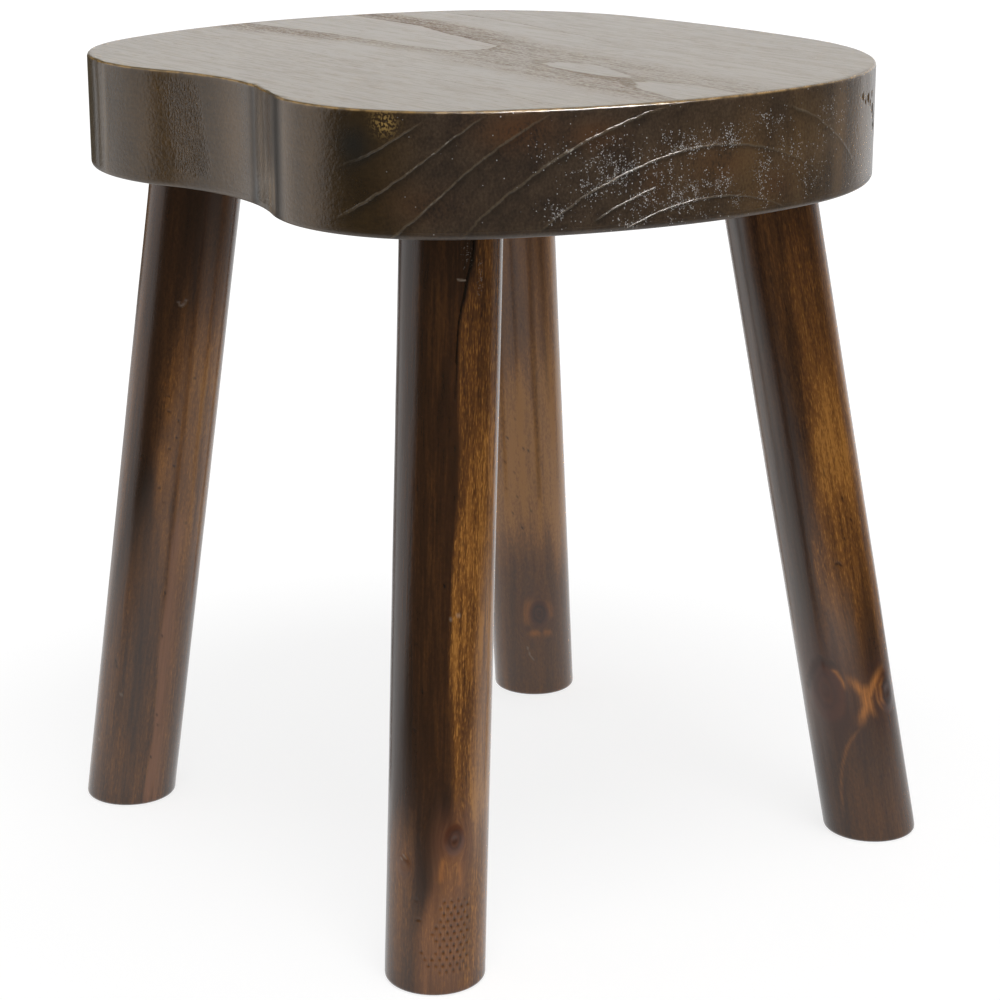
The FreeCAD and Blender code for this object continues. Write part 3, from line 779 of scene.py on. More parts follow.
def seat_fields(points):
    """The painted fields of the seat: rings, end grain, edge wear, ripples and spots."""
    angle = np.degrees(np.arctan2(points[:, 1], points[:, 0]))
    height = points[:, 2]
    wall, normal = seat.at(angle)
    inset = np.linalg.norm(wall, axis=1) - np.linalg.norm(points[:, :2], axis=1)
    on_top = smooth_step(seat.top - 0.9, seat.top - 0.1, height)
    on_side = smooth_step(4.0, 1.0, inset)
    edge = TOP_EDGE_ROUND * (1.0 - math.sqrt(0.5))
    from_edge = np.hypot(seat.top - edge - height, inset - edge)
    edge = BOTTOM_EDGE_ROUND * (1.0 - math.sqrt(0.5))
    from_low_edge = np.hypot(height - seat.bottom - edge, inset - edge)

    def spot(mark):
        centre, level, radius = mark
        return bell(np.hypot(arc_from(angle, centre), height - level), radius)

    def patches(marks):
        share = np.zeros(len(angle))
        for centre, level, half_width, half_height, strength in marks:
            away = np.hypot(arc_from(angle, centre) / half_width, (height - level) / half_height)
            share = np.maximum(share, strength * bell(away, 1.0))
        return share * on_side

    rings, across = ring_index(points)
    vein = np.zeros(len(angle))
    for number, stretch in VEINS.items():
        shown = np.interp(angle, *np.array(stretch, float).T, left=0.0, right=0.0)
        vein = np.where(np.round(rings) == number, shown, vein)
    behind = smooth_step(-4.0, 4.0, across)
    in_tongue_ring = np.floor(rings) == TONGUE_NUMBER
    front = np.interp(points[:, 0], PITH_STATIONS, FRONT_BAND)
    back = 0.5 + 1.2 * bell(points[:, 0] + 110.0, 90.0)
    figure = np.where(in_tongue_ring, behind * back + (1.0 - behind) * front, 0.06 + 0.12 * behind)
    reach = behind * 0.5 + (1.0 - behind) * np.interp(points[:, 0], PITH_STATIONS, FRONT_REACH)

    ripple_arc = arc_from(angle, RIPPLE_CENTRE[0]) + RIPPLE_LEAN * (height - RIPPLE_CENTRE[1])
    ripple = smooth_step(1.0, 0.3, np.abs(ripple_arc) / RIPPLE_HALF_WIDTH)
    ripple *= smooth_step(*RIPPLE_HEIGHTS, np.abs(height - RIPPLE_CENTRE[1]))
    return {
        "ring": rings,
        "vein": vein * on_side * (height < seat.top - TOP_EDGE_ROUND),
        "figure": figure,
        "reach": reach,
        "top": on_top,
        "end": smooth_step(0.45, 0.8, np.abs(normal[:, 0])) * on_side * (1.0 - on_top),
        "rim": bell(from_edge, 0.45),
        "low_rim": bell(from_low_edge, 2.0),
        "ripple": ripple * on_side,
        "worn": spot(WORN_PATCH) * on_side,
        "ink": spot(INK_SPOT) * on_side,
        "glint": patches(GLINTS),
        "ruddy": patches(RED_PATCHES),
        "bloom_and_sheen": patches(BLOOM_AND_SHEEN),
        "streak": patches(PALE_STREAKS),
        "shade": patches(DARK_STREAKS),
        "dull": patches(DULL_STREAKS),
    }


class Leg:
    """A pole leg's axis and radius, read from its solid and its foot mount."""

    def __init__(self, name):
        self.name = name
        self.node = "leg_" + name
        mounts = {mount["name"]: mount for mount in frame["record"]["mounts"]}
        self.foot = np.array(mounts["foot_" + name]["pos_m"], float) / MM
        self.solid = node_points(self.node)
        ring = self.solid[np.abs(self.solid[:, 2] - seat.bottom) < ON_LEVEL]
        self.shoulder = (ring.min(0) + ring.max(0)) / 2.0
        self.axis = self.shoulder - self.foot
        self.axis /= np.linalg.norm(self.axis)
        self.across = np.array([1.0, 0.0, 0.0]) - self.axis * self.axis[0]
        self.across /= np.linalg.norm(self.across)
        self.beside = np.cross(self.axis, self.across)
        self.radius = self.from_axis(ring).max()

    def from_axis(self, points):
        """Distances of points from the leg's axis."""
        offset = points - self.foot
        return np.linalg.norm(offset - np.outer(offset @ self.axis, self.axis), axis=1)

    def surface(self, angle, height, radius):
        """Points of the pole at angles in degrees and heights above the floor."""
        a = np.radians(angle)
        out = radius[:, None] * (np.cos(a)[:, None] * self.across + np.sin(a)[:, None] * self.beside)
        along = (height - out[:, 2]) / self.axis[2]
        return self.foot + out + along[:, None] * self.axis

    def from_line(self, angle, height, marks):
        """Distance in millimetres from a line through (height, angle) marks, and the way along it."""
        places = np.column_stack([np.radians(angle) * self.radius, height])
        corners = np.array([(math.radians(a) * self.radius, z) for z, a in marks])
        nearest = np.full(len(places), np.inf)
        along = np.zeros(len(places))
        for index, (start, end) in enumerate(zip(corners[:-1], corners[1:])):
            step = end - start
            share = np.clip((places - start) @ step / (step @ step), 0.0, 1.0)
            away = np.linalg.norm(places - start - share[:, None] * step, axis=1)
            along = np.where(away < nearest, (index + share) / (len(corners) - 1), along)
            nearest = np.minimum(nearest, away)
        return nearest, along

    def fields(self, angle, height):
        """How far the pole's surface stands out, and its painted fields."""
        look = LEGS[self.name]
        arc = np.radians(angle) * self.radius
        seed = 20 + list(LEGS).index(self.name)
        round_pole = np.column_stack([np.cos(np.radians(angle)), np.sin(np.radians(angle)), height])

        def wave(times_round, size_along, number):
            return swell(round_pole * np.array([times_round, times_round, 1 / size_along]), seed + number)

        def from_mark(level, centre, half_height, half_width, about=arc):
            across = about - math.radians(centre) * self.radius
            return np.hypot(across / half_width, (height - level) / half_height)

        streaks = wave(12.0, 22.0, 0)
        frayed = angle + 2.2 * streaks + 2.5 * wave(4.0, 30.0, 5)
        frayed_arc = np.radians(frayed) * self.radius
        tone = look["tone"] + LEG_WANDER * wave(2.0, 60.0, 10)
        ends = height + 9.0 * streaks

        def band(soft, stations):
            levels, left, right = np.array(stations, float)[::-1].T
            low = np.interp(height, levels, left)
            high = np.interp(height, levels, right)
            inside = smooth_step(low - soft, low + soft, frayed)
            inside *= smooth_step(high + RIGHT_SOFTNESS, high - RIGHT_SOFTNESS, frayed)
            fade = 16.0 + 1.5 * soft
            inside *= smooth_step(levels[0] - fade, levels[0] + 0.5 * fade, ends)
            return inside * smooth_step(levels[-1] + fade, levels[-1] - 0.5 * fade, ends)

        for change, soft, stations in look["bands"]:
            tone = tone + change * band(soft, stations)
        washes = {kind: np.zeros(len(arc)) for kind in ("painted_reflection", "blush")}
        for kind, strength, soft, stations in look["washes"]:
            washes[kind] = np.maximum(washes[kind], strength * band(soft, stations))
        for *place, change in look["spots"]:
            tone = tone + change * bell(from_mark(*place, frayed_arc), 1.0)

        flow = arc.copy()
        knot = np.zeros(len(arc))
        red = np.zeros(len(arc))
        relief = 0.12 * wave(1.6, 45.0, 15) + 0.03 * wave(6.0, 12.0, 16)
        for level, centre, half_width, half_height, dark, redness in look["knots"]:
            across = arc - math.radians(centre) * self.radius
            rho = from_mark(level, centre, half_height, half_width)
            flow -= across / np.maximum(rho, 1.0) ** 2 * smooth_step(5.0, 2.0, rho)
            rings = 0.5 + 0.5 * np.sin(rho * 14.0 + 2.0 * streaks)
            knot = np.maximum(knot, dark * smooth_step(1.1, 0.7, rho) * (0.5 + 0.5 * rings))
            halo = 0.6 * smooth_step(1.25, 0.9, rho) + 0.4 * smooth_step(3.2, 0.9, rho)
            red = np.maximum(red, redness * halo)
            relief += 0.25 * smooth_step(1.2, 0.6, rho) - 0.15 * smooth_step(0.35, 0.1, rho)
        marks = {kind: np.zeros(len(arc)) for kind in ("orange", "crack", "dark", "pale", "dent")}
        for kind, half_width, strength, *stations in look["lines"]:
            wobble = 0.25 * half_width * wave(30.0, 1.5, 20)
            distance, along = self.from_line(angle, height, stations)
            if kind == "orange":
                taper = smooth_step(0.0, 0.3, along) * smooth_step(1.0, 0.7, along)
                shape = bell(distance, 1.3 * half_width) * taper
            else:
                shape = smooth_step(1.7 * half_width, 0.3 * half_width, distance + wobble)
            marks[kind] = np.maximum(marks[kind], strength * shape)
        for level, centre in look["dots"]:
            dot = smooth_step(1.5, 0.5, from_mark(level, centre, 0.8, 0.5))
            marks["dark"] = np.maximum(marks["dark"], 0.9 * dot)
        relief -= 0.9 * marks["crack"] + 0.3 * marks["dent"] + 0.15 * marks["dark"]
        dimple = np.zeros(len(arc))
        bubbles = np.zeros(len(arc))
        if self.name == DIMPLE_LEG:
            dimple = self.dimples(angle, arc, height)
            for *place, strength in BUBBLES:
                bubbles = np.maximum(bubbles, strength * bell(from_mark(*place), 1.0))
        relief -= 0.4 * dimple
        turn = flow / self.radius
        low, high = look["lively"]
        fields = {
            "flow": np.column_stack([np.cos(turn) * self.radius, np.sin(turn) * self.radius, height]),
            "tone": tone,
            "lively": low + (high - low) * smooth_step(80.0, 150.0, height),
            "painted_reflection": washes["painted_reflection"],
            "blush": washes["blush"],
            "knot": knot,
            "red": red,
            "orange": marks["orange"],
            # Painted shade in the cracks and dimples, joined with the other dark marks
            "dark": np.maximum.reduce([marks["crack"], marks["dark"], 0.65 * dimple]),
            "pale": np.maximum(marks["pale"], 0.25 * marks["dent"]),
            # Painted glints on the lacquer bubbles
            "bubble": bubbles,
        }
        relief *= smooth_step(0.0, 8.0, height) * smooth_step(seat.bottom, seat.bottom - 3.0, height)
        return relief, fields

    def dimples(self, angle, arc, height):
        """Depth of the punched dimples, from 0 to 1."""
        across, upward = DIMPLE_PITCH
        half_width, half_height = DIMPLE_HALF_SIZE

        def from_nearest(shift):
            u = (arc / across + shift) / 2
            v = (height / upward + shift) / 2
            beside = (u - np.round(u)) * 2 * across / half_width
            above = (v - np.round(v)) * 2 * upward / half_height
            return np.hypot(beside, above)

        # Every second row is shifted by half a pitch.
        depth = smooth_step(1.35, 0.4, np.minimum(from_nearest(0.0), from_nearest(1.0)))
        low, high = DIMPLE_HEIGHTS
        zone = smooth_step(low - 2.0, low + 4.0, height) * smooth_step(high + 2.0, high - 1.0, height)
        left, right = DIMPLE_ANGLES
        main = smooth_step(left - 3.0, left + 5.0, angle) * smooth_step(right + 3.0, right - 3.0, angle)
        left, right = DIMPLE_FIELD
        cells = np.column_stack([np.round(arc / across), np.round(height / upward), np.zeros_like(arc)])
        sparse = smooth_step(0.05, 0.35, swell(cells * 0.73 + 0.31, 40))
        side = smooth_step(left - 4.0, left + 4.0, angle) * smooth_step(right + 6.0, right - 2.0, angle)
        return depth * zone * np.maximum(main, 0.7 * side * sparse)


def sawn_end(fields, share):
    """The painted fields of a ring on the flat sawn foot of a pole, at a share of its radius."""
    plain = {label: np.zeros_like(values) for label, values in fields.items()}
    plain["tone"] += SAWN_TONE
    plain["flow"] = fields["flow"] * np.array([share, share, 1.0])
    return plain


def build_leg(leg, material):
    """A pole: its sawn foot, its round side with the relief, its shoulder and its tenon."""
    look = LEGS[leg.name]
    degrees = math.degrees(POLE_PITCH / leg.radius)
    angles = spread(-180.0, 180.0, degrees, look["close_angles"])[:-1]
    columns = len(angles)
    profile = quarter_round(FOOT_ROUND, FOOT_ROWS)
    profile += [(0.0, z) for z in spread(FOOT_ROUND, seat.bottom, POLE_PITCH, look["close_heights"])[1:]]
    cap = [(leg.radius * share, 0.0) for share in SAWN_RINGS]
    points = [leg.foot[None, :]]
    faces = []
    gathered = []
    total = 1
    last = None
    for inset, height in cap + profile:
        level = np.full(columns, height)
        relief, fields = leg.fields(angles, level)
        if inset > FOOT_ROUND:
            fields = sawn_end(fields, 1.0 - inset / leg.radius)
        gathered.append(fields)
        points.append(leg.surface(angles, level, leg.radius - inset + relief))
        row = np.arange(total, total + columns)
        if last is None:
            faces += [[0, a, b] for a, b in zip(np.roll(row, -1), row)]
        else:
            faces += np.column_stack([row, last, np.roll(last, -1), np.roll(row, -1)]).tolist()
        last = row
        total += columns

    # The shoulder and the tenon, which is taken over from the solid
    inside = (leg.from_axis(leg.solid) < TENON_REACH) & (leg.solid[:, 2] > seat.bottom - ON_FLAT)
    tenon, tenon_faces, at_root = taken_over(leg.node, inside, seat.bottom)
    spots, triangles = filled(points[-1][:, :2], [loop_about(at_root, leg.shoulder[:2])])
    points.append(at_height(spots, seat.bottom))
    faces += shifted(triangles, total)
    total += len(spots)
    points.append(tenon)
    faces += shifted(tenon_faces, total)

    points = np.vstack(points)
    plain = len(points) - 1 - columns * len(gathered)
    attributes = {}
    for label in gathered[0]:
        values = np.concatenate([fields[label] for fields in gathered])
        first = np.full_like(values[:1], SAWN_TONE if label == "tone" else 0.0)
        rest = np.zeros((plain,) + values.shape[1:])
        if label == "flow":
            rest = points[-plain:] - leg.foot
        attributes[label] = np.concatenate([first, values, rest])
    make_piece(leg.node.replace("leg_", "pole_"), points, faces, attributes, material, leg.node)


class Shader:
    """A node tree built from short calls. Values may be numbers, colours or sockets of earlier nodes."""

    def __init__(self, owner):
        owner.use_nodes = True
        self.tree = owner.node_tree

    def add(self, kind, inputs, **settings):
        node = self.tree.nodes.new(kind)
        for key, value in settings.items():
            setattr(node, key, value)
        for key, value in inputs.items():
            if isinstance(value, bpy.types.NodeSocket):
                self.tree.links.new(value, node.inputs[key])
            else:
                node.inputs[key].default_value = value
        return node

    def field(self, label, output="Fac"):
        return self.add("ShaderNodeAttribute", {}, attribute_name=label).outputs[output]

    def place(self):
        """The place on the object, in millimetres."""
        coordinate = self.add("ShaderNodeTexCoord", {}).outputs["Object"]
        return self.stretched(coordinate, (1 / MM, 1 / MM, 1 / MM))

    def stretched(self, vector, times):
        return self.add("ShaderNodeVectorMath", {0: vector, 1: times}, operation="MULTIPLY").outputs[0]

    def maths(self, operation, a, b=0.0, c=0.0):
        return self.add("ShaderNodeMath", {0: a, 1: b, 2: c}, operation=operation).outputs[0]

    def plus(self, *values):
        total = values[0]
        for value in values[1:]:
            total = self.maths("ADD", total, value)
        return total

    def times(self, *values):
        total = values[0]
        for value in values[1:]:
            total = self.maths("MULTIPLY", total, value)
        return total

    def inverse(self, value):
        return self.maths("SUBTRACT", 1.0, value)

    def step(self, low, high, value):
        """A smooth step from 0 at low to 1 at high, either way round."""
        inputs = {"Value": value, "From Min": low, "From Max": high}
        if low > high:
            inputs.update({"From Min": high, "From Max": low, "To Min": 1.0, "To Max": 0.0})
        return self.add("ShaderNodeMapRange", inputs, interpolation_type="SMOOTHSTEP").outputs["Result"]

    def noise(self, vector, sizes, detail=2.0, roughness=0.5):
        """Noise with swells of the given sizes in millimetres along X, Y and Z."""
        scaled = self.stretched(vector, tuple(1.0 / size for size in sizes))
        inputs = {"Vector": scaled, "Scale": 1.0, "Detail": detail, "Roughness": roughness}
        return self.add("ShaderNodeTexNoise", inputs).outputs["Fac"]

    def cells(self, vector, size):
        """Distance from the middle of the nearest of many scattered cells, and that cell's random value."""
        node = self.add("ShaderNodeTexVoronoi", {"Vector": vector, "Scale": 1.0 / size})
        lot = self.add("ShaderNodeSeparateColor", {"Color": node.outputs["Color"]})
        return node.outputs["Distance"], lot.outputs["Red"]

    def ramp(self, value, stops):
        node = self.add("ShaderNodeValToRGB", {"Fac": value})
        elements = node.color_ramp.elements
        while len(elements) < len(stops):
            elements.new(0.5)
        for element, (position, colour) in zip(elements, stops):
            element.position = position
            element.color = (*colour, 1.0)
        return node.outputs["Color"]

    def blend(self, share, first, second):
        node = self.add("ShaderNodeMix", {}, data_type="RGBA")
        for socket, value in ((node.inputs[0], share), (node.inputs[6], first), (node.inputs[7], second)):
            if isinstance(value, bpy.types.NodeSocket):
                self.tree.links.new(value, socket)
            else:
                socket.default_value = (*value, 1.0) if isinstance(value, tuple) else value
        return node.outputs[2]

    def surface(self, colour, roughness, height=None, coat=None, **constants):
        """Feeds the material's surface: colour, roughness, height of its relief in millimetres, and coat."""
        target = self.tree.nodes["Principled BSDF"]
        feeds = {"Base Color": colour, "Roughness": roughness}
        if height is not None:
            bump = self.add("ShaderNodeBump", {"Height": height, "Distance": MM, "Strength": 1.0})
            feeds["Normal"] = bump.outputs["Normal"]
        if coat is not None:
            feeds["Coat Weight"] = coat
        for label, value in feeds.items():
            if isinstance(value, bpy.types.NodeSocket):
                self.tree.links.new(value, target.inputs[label])
            else:
                target.inputs[label].default_value = value
        for label, value in constants.items():
            target.inputs[label.replace("_", " ")].default_value = value


def seat_wood():
    """Dark stained, lacquered wood: flat grain with porous bands on the top, end grain on the sides."""
    material = bpy.data.materials.new("seat_wood")
    s = Shader(material)
    place = s.place()
    ring, top, end = s.field("ring"), s.field("top"), s.field("end")
    fibre = s.noise(place, (60.0, 1.8, 1.8), 4.0)
    dash = s.noise(place, (9.0, 0.9, 0.9), 2.0)
    speck = s.noise(place, (2.0, 1.1, 1.1), 2.0)
    phase = s.maths("FRACT", s.plus(ring, s.times(s.plus(fibre, -0.5), 0.03)))
    out = s.maths("DIVIDE", phase, s.field("reach"))
    early = s.times(s.field("figure"), s.step(0.0, 0.02, out), s.step(1.0, 0.05, out))
    early = s.times(early, s.plus(0.45, s.times(0.75, s.step(0.38, 0.62, fibre))))
    pores = s.step(0.42, 0.60, s.plus(s.times(dash, 0.5), s.times(speck, 0.5)))
    opened = s.times(early, s.plus(0.15, s.times(0.75, pores)))
    crisp = s.times(s.field("figure"), s.step(0.0, 0.004, phase), s.step(0.026, 0.010, phase))
    opened = s.maths("MAXIMUM", opened, s.times(crisp, s.plus(0.35, s.times(pores, 0.6))))
    scatter = s.times(s.step(0.50, 0.66, dash), s.step(0.40, 0.60, fibre))
    streaky = s.step(0.46, 0.70, s.noise(place, (40.0, 2.2, 2.2), 4.0))
    rough = s.maths("MAXIMUM", s.times(scatter, 0.24), s.times(streaky, 0.13))
    rough = s.maths("MAXIMUM", s.times(opened, 0.94), rough)
    opened = s.maths("MAXIMUM", opened, s.times(scatter, 0.6))

    top_colour = s.ramp(s.plus(s.times(fibre, 0.6), s.times(dash, 0.4)), TOP_STAIN)
    top_colour = s.blend(s.times(opened, 0.85), top_colour, TOP_PORES)

    blotch = s.noise(place, (14.0, 14.0, 14.0), 3.0)
    leather = s.noise(place, (1.1, 1.1, 1.4), 2.0)
    mottle = s.plus(s.times(blotch, 0.55), s.times(leather, 0.45))
    drawn = s.plus(s.times(blotch, 0.35), s.times(leather, 0.35), s.times(fibre, 0.3))
    side_colour = s.blend(end, s.ramp(drawn, LONG_SIDE_STAIN), s.ramp(mottle, END_STAIN))
    ruddy = s.times(s.field("ruddy"), s.step(0.32, 0.55, mottle), 0.75)
    side_colour = s.blend(ruddy, side_colour, RED_STAIN)
    # Hazy lacquer with painted sheen, painted shade and painted highlight streaks
    for label, least, strength, colour in SIDE_PAINT:
        share = s.times(s.field(label), s.plus(least, leather), strength)
        side_colour = s.blend(share, side_colour, colour)

    # The pale veins of the right end, with painted shade beneath them and painted highlights along them, and
    # the bubbles with painted glints
    wave = s.times(s.plus(s.noise(place, (5.0, 5.0, 5.0), 3.0), -0.5), 0.10)
    drift = s.plus(ring, wave)
    nearest = s.maths("ABSOLUTE", s.plus(s.maths("FRACT", s.plus(drift, 0.5)), -0.5))
    vein = s.field("vein")
    shown = s.step(0.0, 0.3, vein)
    under = s.times(shown, s.step(0.75, 0.97, s.maths("FRACT", drift)))
    side_colour = s.blend(s.times(under, 0.45), side_colour, VEIN_SHADOW)
    line = s.times(shown, s.step(0.042, 0.010, nearest))
    side_colour = s.blend(s.times(line, s.plus(0.1, leather)), side_colour, VEIN_COLOUR)
    patchy = s.step(0.46, 0.62, s.noise(place, (2.6, 2.6, 2.6), 3.0))
    gleam = s.times(s.step(0.45, 1.05, vein), s.step(0.022, 0.006, nearest), patchy)
    side_colour = s.blend(s.times(gleam, 0.9), side_colour, VEIN_GLEAM)
    glint = s.times(s.field("glint"), s.step(0.36, 0.62, s.noise(place, (4.0, 4.0, 4.0), 2.0)))
    along_vein = s.times(s.field("glint"), shown, s.step(0.25, 0.03, nearest))
    chance = s.plus(s.times(glint, 1.5), s.times(along_vein, 0.5), 0.006)
    distance, lot = s.cells(place, 0.70)
    bright = s.step(0.0, 1.3, s.inverse(s.maths("DIVIDE", lot, chance)))
    sparkle = s.times(end, s.step(0.52, 0.22, distance), bright)
    side_colour = s.blend(s.times(sparkle, 0.85), side_colour, GLINT_COLOUR)

    colour = s.blend(top, side_colour, top_colour)
    grit = s.step(0.46, 0.60, s.noise(place, (1.1, 1.1, 1.3), 2.0))
    colour = s.blend(s.times(s.field("worn"), grit, 0.85), colour, WORN_WOOD)
    colour = s.blend(s.times(s.field("ink"), 0.7), colour, INK_COLOUR)
    worn_edge = s.plus(0.25, s.times(0.75, s.step(0.38, 0.62, s.noise(place, (7.0, 7.0, 7.0), 3.0))))
    colour = s.blend(s.times(s.field("rim"), worn_edge, 0.9), colour, WORN_EDGE)

    wrinkle = s.maths("ABSOLUTE", s.plus(s.noise(place, (1.7, 1.7, 3.2), 2.0), -0.5))
    crease = s.times(s.field("ripple"), s.step(0.06, 0.0, wrinkle), 0.22)
    colour = s.blend(crease, colour, WRINKLE_SHADOW)
    peel = s.noise(place, (2.2, 2.2, 2.2), 1.0)
    height = s.plus(
        s.times(s.field("ripple"), wrinkle, -2.8), s.times(s.inverse(top), peel, 0.15), s.times(line, 0.18),
        s.times(sparkle, 0.16), s.times(top, opened, -0.05), s.times(leather, s.inverse(top), 0.10),
    )
    coat = s.times(top, s.maths("MAXIMUM", 0.0, s.plus(0.16, s.times(opened, -0.24))))
    roughness = s.plus(
        0.24, s.times(top, 0.08), s.times(rough, top, 0.55), s.times(s.field("rim"), -0.1),
        s.times(s.field("low_rim"), 0.25), s.times(s.field("dull"), 0.5),
    )
    s.surface(colour, roughness, height, s.plus(coat, 0.1), Coat_Roughness=0.12, IOR=1.5)
    return material


def leg_wood():
    """Stained pole wood: streaks that flow round the knots, from black brown to gold."""
    material = bpy.data.materials.new("leg_wood")
    s = Shader(material)
    flow = s.field("flow", "Vector")
    tone = s.field("tone")
    broad = s.noise(flow, (6.0, 6.0, 70.0), 3.0)
    fine = s.noise(flow, (1.3, 1.3, 24.0), 3.0)
    fleck = s.step(0.50, 0.70, s.noise(flow, (0.55, 0.55, 4.0), 2.0))
    grain = s.noise(flow, (1.0, 1.0, 2.2), 2.0)
    lively = s.field("lively")
    # Flecks are fainter where the floor's reflection is painted in
    weaker_in_painted_reflection = s.plus(0.7, s.times(s.field("painted_reflection"), -0.5))
    flecks = s.times(s.plus(fleck, -0.18), s.step(0.24, 0.5, tone), weaker_in_painted_reflection)
    sharp = s.plus(s.times(s.plus(fine, -0.5), 1.3), flecks)
    streaks = s.plus(s.times(s.plus(broad, -0.5), 0.9), s.times(s.plus(grain, -0.5), 0.6))
    streaks = s.plus(streaks, s.times(sharp, lively))
    value = s.plus(tone, s.times(s.plus(0.06, s.times(tone, 0.9)), streaks))
    colour = s.ramp(value, POLE_STAIN)
    colour = s.blend(s.times(s.field("blush"), s.plus(0.35, s.times(fine, 0.9))), colour, POLE_BLUSH)
    # Painted reflection of the floor in the lacquer
    colour = s.blend(s.times(s.field("painted_reflection"), 0.11), colour, POLE_PAINTED_REFLECTION)
    colour = s.blend(s.times(s.field("red"), 0.65), colour, KNOT_RED)
    colour = s.blend(s.times(s.field("knot"), s.plus(0.55, s.times(grain, 0.6))), colour, KNOT_CORE)
    glow = s.times(s.field("orange"), s.plus(-0.05, s.times(fine, 1.1), s.times(grain, 0.5)))
    colour = s.blend(glow, colour, ORANGE_GLOW)
    # Dark marks, with painted shade in the cracks and dimples
    colour = s.blend(s.field("dark"), colour, DARK_MARK_AND_SHADE_COLOUR)
    # Pale scratches, and a painted highlight dash
    colour = s.blend(s.times(s.field("pale"), 0.8), colour, SCRATCH_AND_HIGHLIGHT_COLOUR)
    # Painted glints on the lacquer bubbles
    distance, lot = s.cells(flow, 0.6)
    bubble = s.times(s.step(0.42, 0.20, distance), s.step(0.45, 0.75, s.times(s.field("bubble"), lot)))
    colour = s.blend(s.times(bubble, 0.55), colour, BUBBLE_GLINT_COLOUR)
    height = s.plus(s.times(fine, 0.05), s.times(grain, 0.04), s.times(bubble, 0.15))
    s.surface(colour, s.plus(0.2, s.times(grain, 0.06)), height, IOR=1.5)
    return material


def wedge_wood():
    """Bare split hardwood."""
    material = bpy.data.materials.new("wedge_wood")
    s = Shader(material)
    place = s.place()
    grain = s.noise(place, (0.8, 3.0, 16.0), 3.0)
    colour = s.ramp(grain, WEDGE_STAIN)
    s.surface(colour, 0.62, s.times(grain, 0.12))
    return material


def facing(s, vector, azimuth, outer, inner):
    """How near a vector's level direction is to an azimuth: 0 at the outer half width, 1 at the inner one."""
    level = s.stretched(vector, (1.0, 1.0, 0.0))
    level = s.add("ShaderNodeVectorMath", {0: level}, operation="NORMALIZE").outputs[0]
    middle = (math.cos(math.radians(azimuth)), math.sin(math.radians(azimuth)), 0.0)
    turn = s.add("ShaderNodeVectorMath", {0: level, 1: middle}, operation="DOT_PRODUCT").outputs["Value"]
    return s.step(math.cos(math.radians(outer)), math.cos(math.radians(inner)), turn)


def white_share(s, vector):
    """How white the surroundings are in the level direction of a vector."""
    share = DARK_LEVEL
    for azimuth, outer, inner, strength in PANELS:
        share = s.maths("MAXIMUM", s.times(facing(s, vector, azimuth, outer, inner), strength), share)
    return share


def tinted(s, share):
    """Light of a level, warm where it is low, as the dark of the room is."""
    tint = s.blend(s.step(DARK_LEVEL, 4.0 * DARK_LEVEL, share), DARK_TINT, (1.0, 1.0, 1.0))
    return s.stretched(tint, share)


def add_world():
    """White to the camera, an even soft level as light, and white and dark sides as the lacquer sees them."""
    world = bpy.data.worlds.new("studio")
    bpy.context.scene.world = world
    s = Shader(world)
    path = s.add("ShaderNodeLightPath", {})
    direction = s.add("ShaderNodeTexCoord", {}).outputs["Generated"]
    mirrored = s.maths("MAXIMUM", path.outputs["Is Glossy Ray"], path.outputs["Is Transmission Ray"])
    azimuth, outer, inner, lowest, highest, strength = OVERHEAD
    rise = s.add("ShaderNodeSeparateXYZ", {0: direction}).outputs["Z"]
    low_soft, high_soft = OVERHEAD_SOFTNESS
    above = s.step(lowest - low_soft, lowest + low_soft, rise)
    below = s.step(highest + high_soft, highest - high_soft, rise)
    overhead = s.times(above, below, facing(s, direction, azimuth, outer, inner), strength)
    level = s.blend(mirrored, (AMBIENT_LEVEL,) * 3, tinted(s, s.plus(white_share(s, direction), overhead)))
    level = s.blend(path.outputs["Is Camera Ray"], level, (1.0, 1.0, 1.0))
    s.tree.links.new(level, s.tree.nodes["Background"].inputs["Color"])


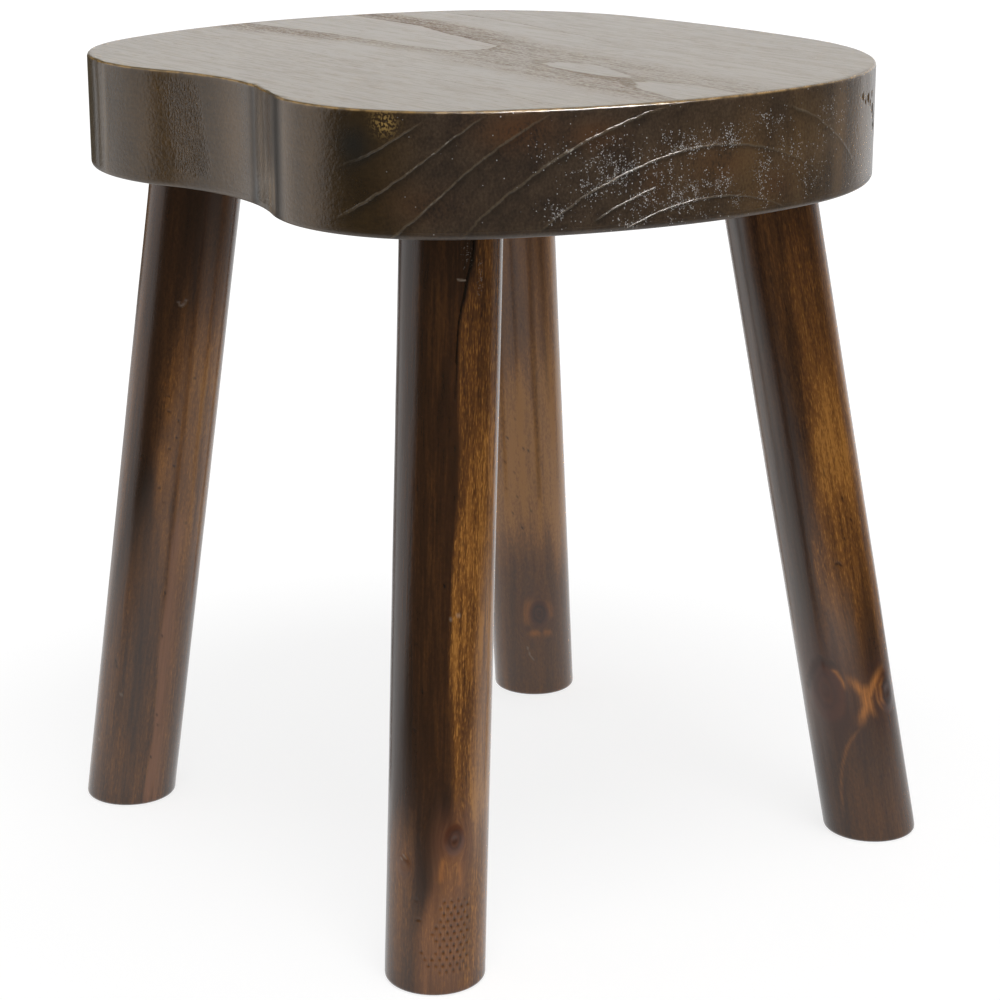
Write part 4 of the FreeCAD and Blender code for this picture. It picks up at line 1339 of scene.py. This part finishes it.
def add_floor():
    """A white floor that keeps the stool's soft shadow. In the lacquer it fades to the dark of the room."""
    mesh = bpy.data.meshes.new("floor")
    turns = [2 * math.pi * corner / FLOOR_CORNERS for corner in range(FLOOR_CORNERS)]
    rim = [(FLOOR_RADIUS * math.cos(turn), FLOOR_RADIUS * math.sin(turn), 0.0) for turn in turns]
    mesh.from_pydata(rim, [], [list(range(FLOOR_CORNERS))])
    material = bpy.data.materials.new("floor")
    s = Shader(material)
    place = s.add("ShaderNodeTexCoord", {}).outputs["Object"]
    away = s.add("ShaderNodeVectorMath", {0: place}, operation="LENGTH").outputs["Value"]
    path = s.add("ShaderNodeLightPath", {})
    near = s.step(NEAR_FLOOR[1], NEAR_FLOOR[0], away)
    azimuth, outer, inner, ends, full, strength = LIT_FLOOR
    lit_left = s.times(facing(s, place, azimuth, outer, inner), s.step(ends, full, away), strength)
    starts, full, loss = FAR_FLOOR
    white = s.times(white_share(s, place), s.plus(1.0, s.times(s.step(starts, full, away), -loss)))
    mirrored = s.maths("MAXIMUM", s.maths("MAXIMUM", white, lit_left), near)
    lit = s.add("ShaderNodeBsdfDiffuse", {"Color": (FLOOR_WHITE,) * 3 + (1.0,)}).outputs[0]
    glow = s.add("ShaderNodeEmission", {"Strength": FLOOR_GLOW}).outputs[0]
    least, grows, whole = GLOW_SHARE
    own_white = s.plus(least, s.times(1.0 - least, s.step(grows, whole, away)))
    share = s.times(path.outputs["Is Camera Ray"], own_white)
    seen = s.add("ShaderNodeMixShader", {0: share, 1: lit, 2: glow}).outputs[0]
    reflected = s.add("ShaderNodeEmission", {"Color": tinted(s, mirrored)}).outputs[0]
    mixed = s.add("ShaderNodeMixShader", {0: path.outputs["Is Glossy Ray"], 1: seen, 2: reflected}).outputs[0]
    s.tree.links.new(mixed, s.tree.nodes["Material Output"].inputs["Surface"])
    mesh.materials.append(material)
    floor = bpy.data.objects.new("floor", mesh)
    bpy.context.scene.collection.objects.link(floor)


def add_lamp():
    """The overhead softbox, which gives the bright line along the seat's edge."""
    data = bpy.data.lights.new("softbox", "AREA")
    data.size = LAMP_SIZE
    data.energy = LAMP_POWER
    lamp = bpy.data.objects.new("softbox", data)
    lamp.location = Vector(LAMP_AIM) + Vector(LAMP_PLACE)
    lamp.rotation_euler = (-Vector(LAMP_PLACE)).to_track_quat("-Z", "Y").to_euler()
    lamp.visible_camera = False
    bpy.context.scene.collection.objects.link(lamp)


def add_camera():
    """The camera, as solved from the photograph."""
    data = bpy.data.cameras.new("camera")
    data.lens = CAMERA_LENS
    camera = bpy.data.objects.new("camera", data)
    camera.location = CAMERA_PLACE
    camera.rotation_euler = Vector(CAMERA_AIM).to_track_quat("-Z", "Y").to_euler()
    bpy.context.scene.collection.objects.link(camera)
    bpy.context.scene.camera = camera


seat = Outline()
legs = {name: Leg(name) for name in LEGS}
build_seat(seat_wood())
pole_material = leg_wood()
for leg in legs.values():
    build_leg(leg, pole_material)
wedge_material = wedge_wood()
for name in LEGS:
    wedge = frame["nodes"]["wedge_" + name]
    wedge.data.materials.clear()
    wedge.data.materials.append(wedge_material)

add_camera()
add_world()
add_floor()
add_lamp()
bpy.context.scene.view_settings.view_transform = "Standard"
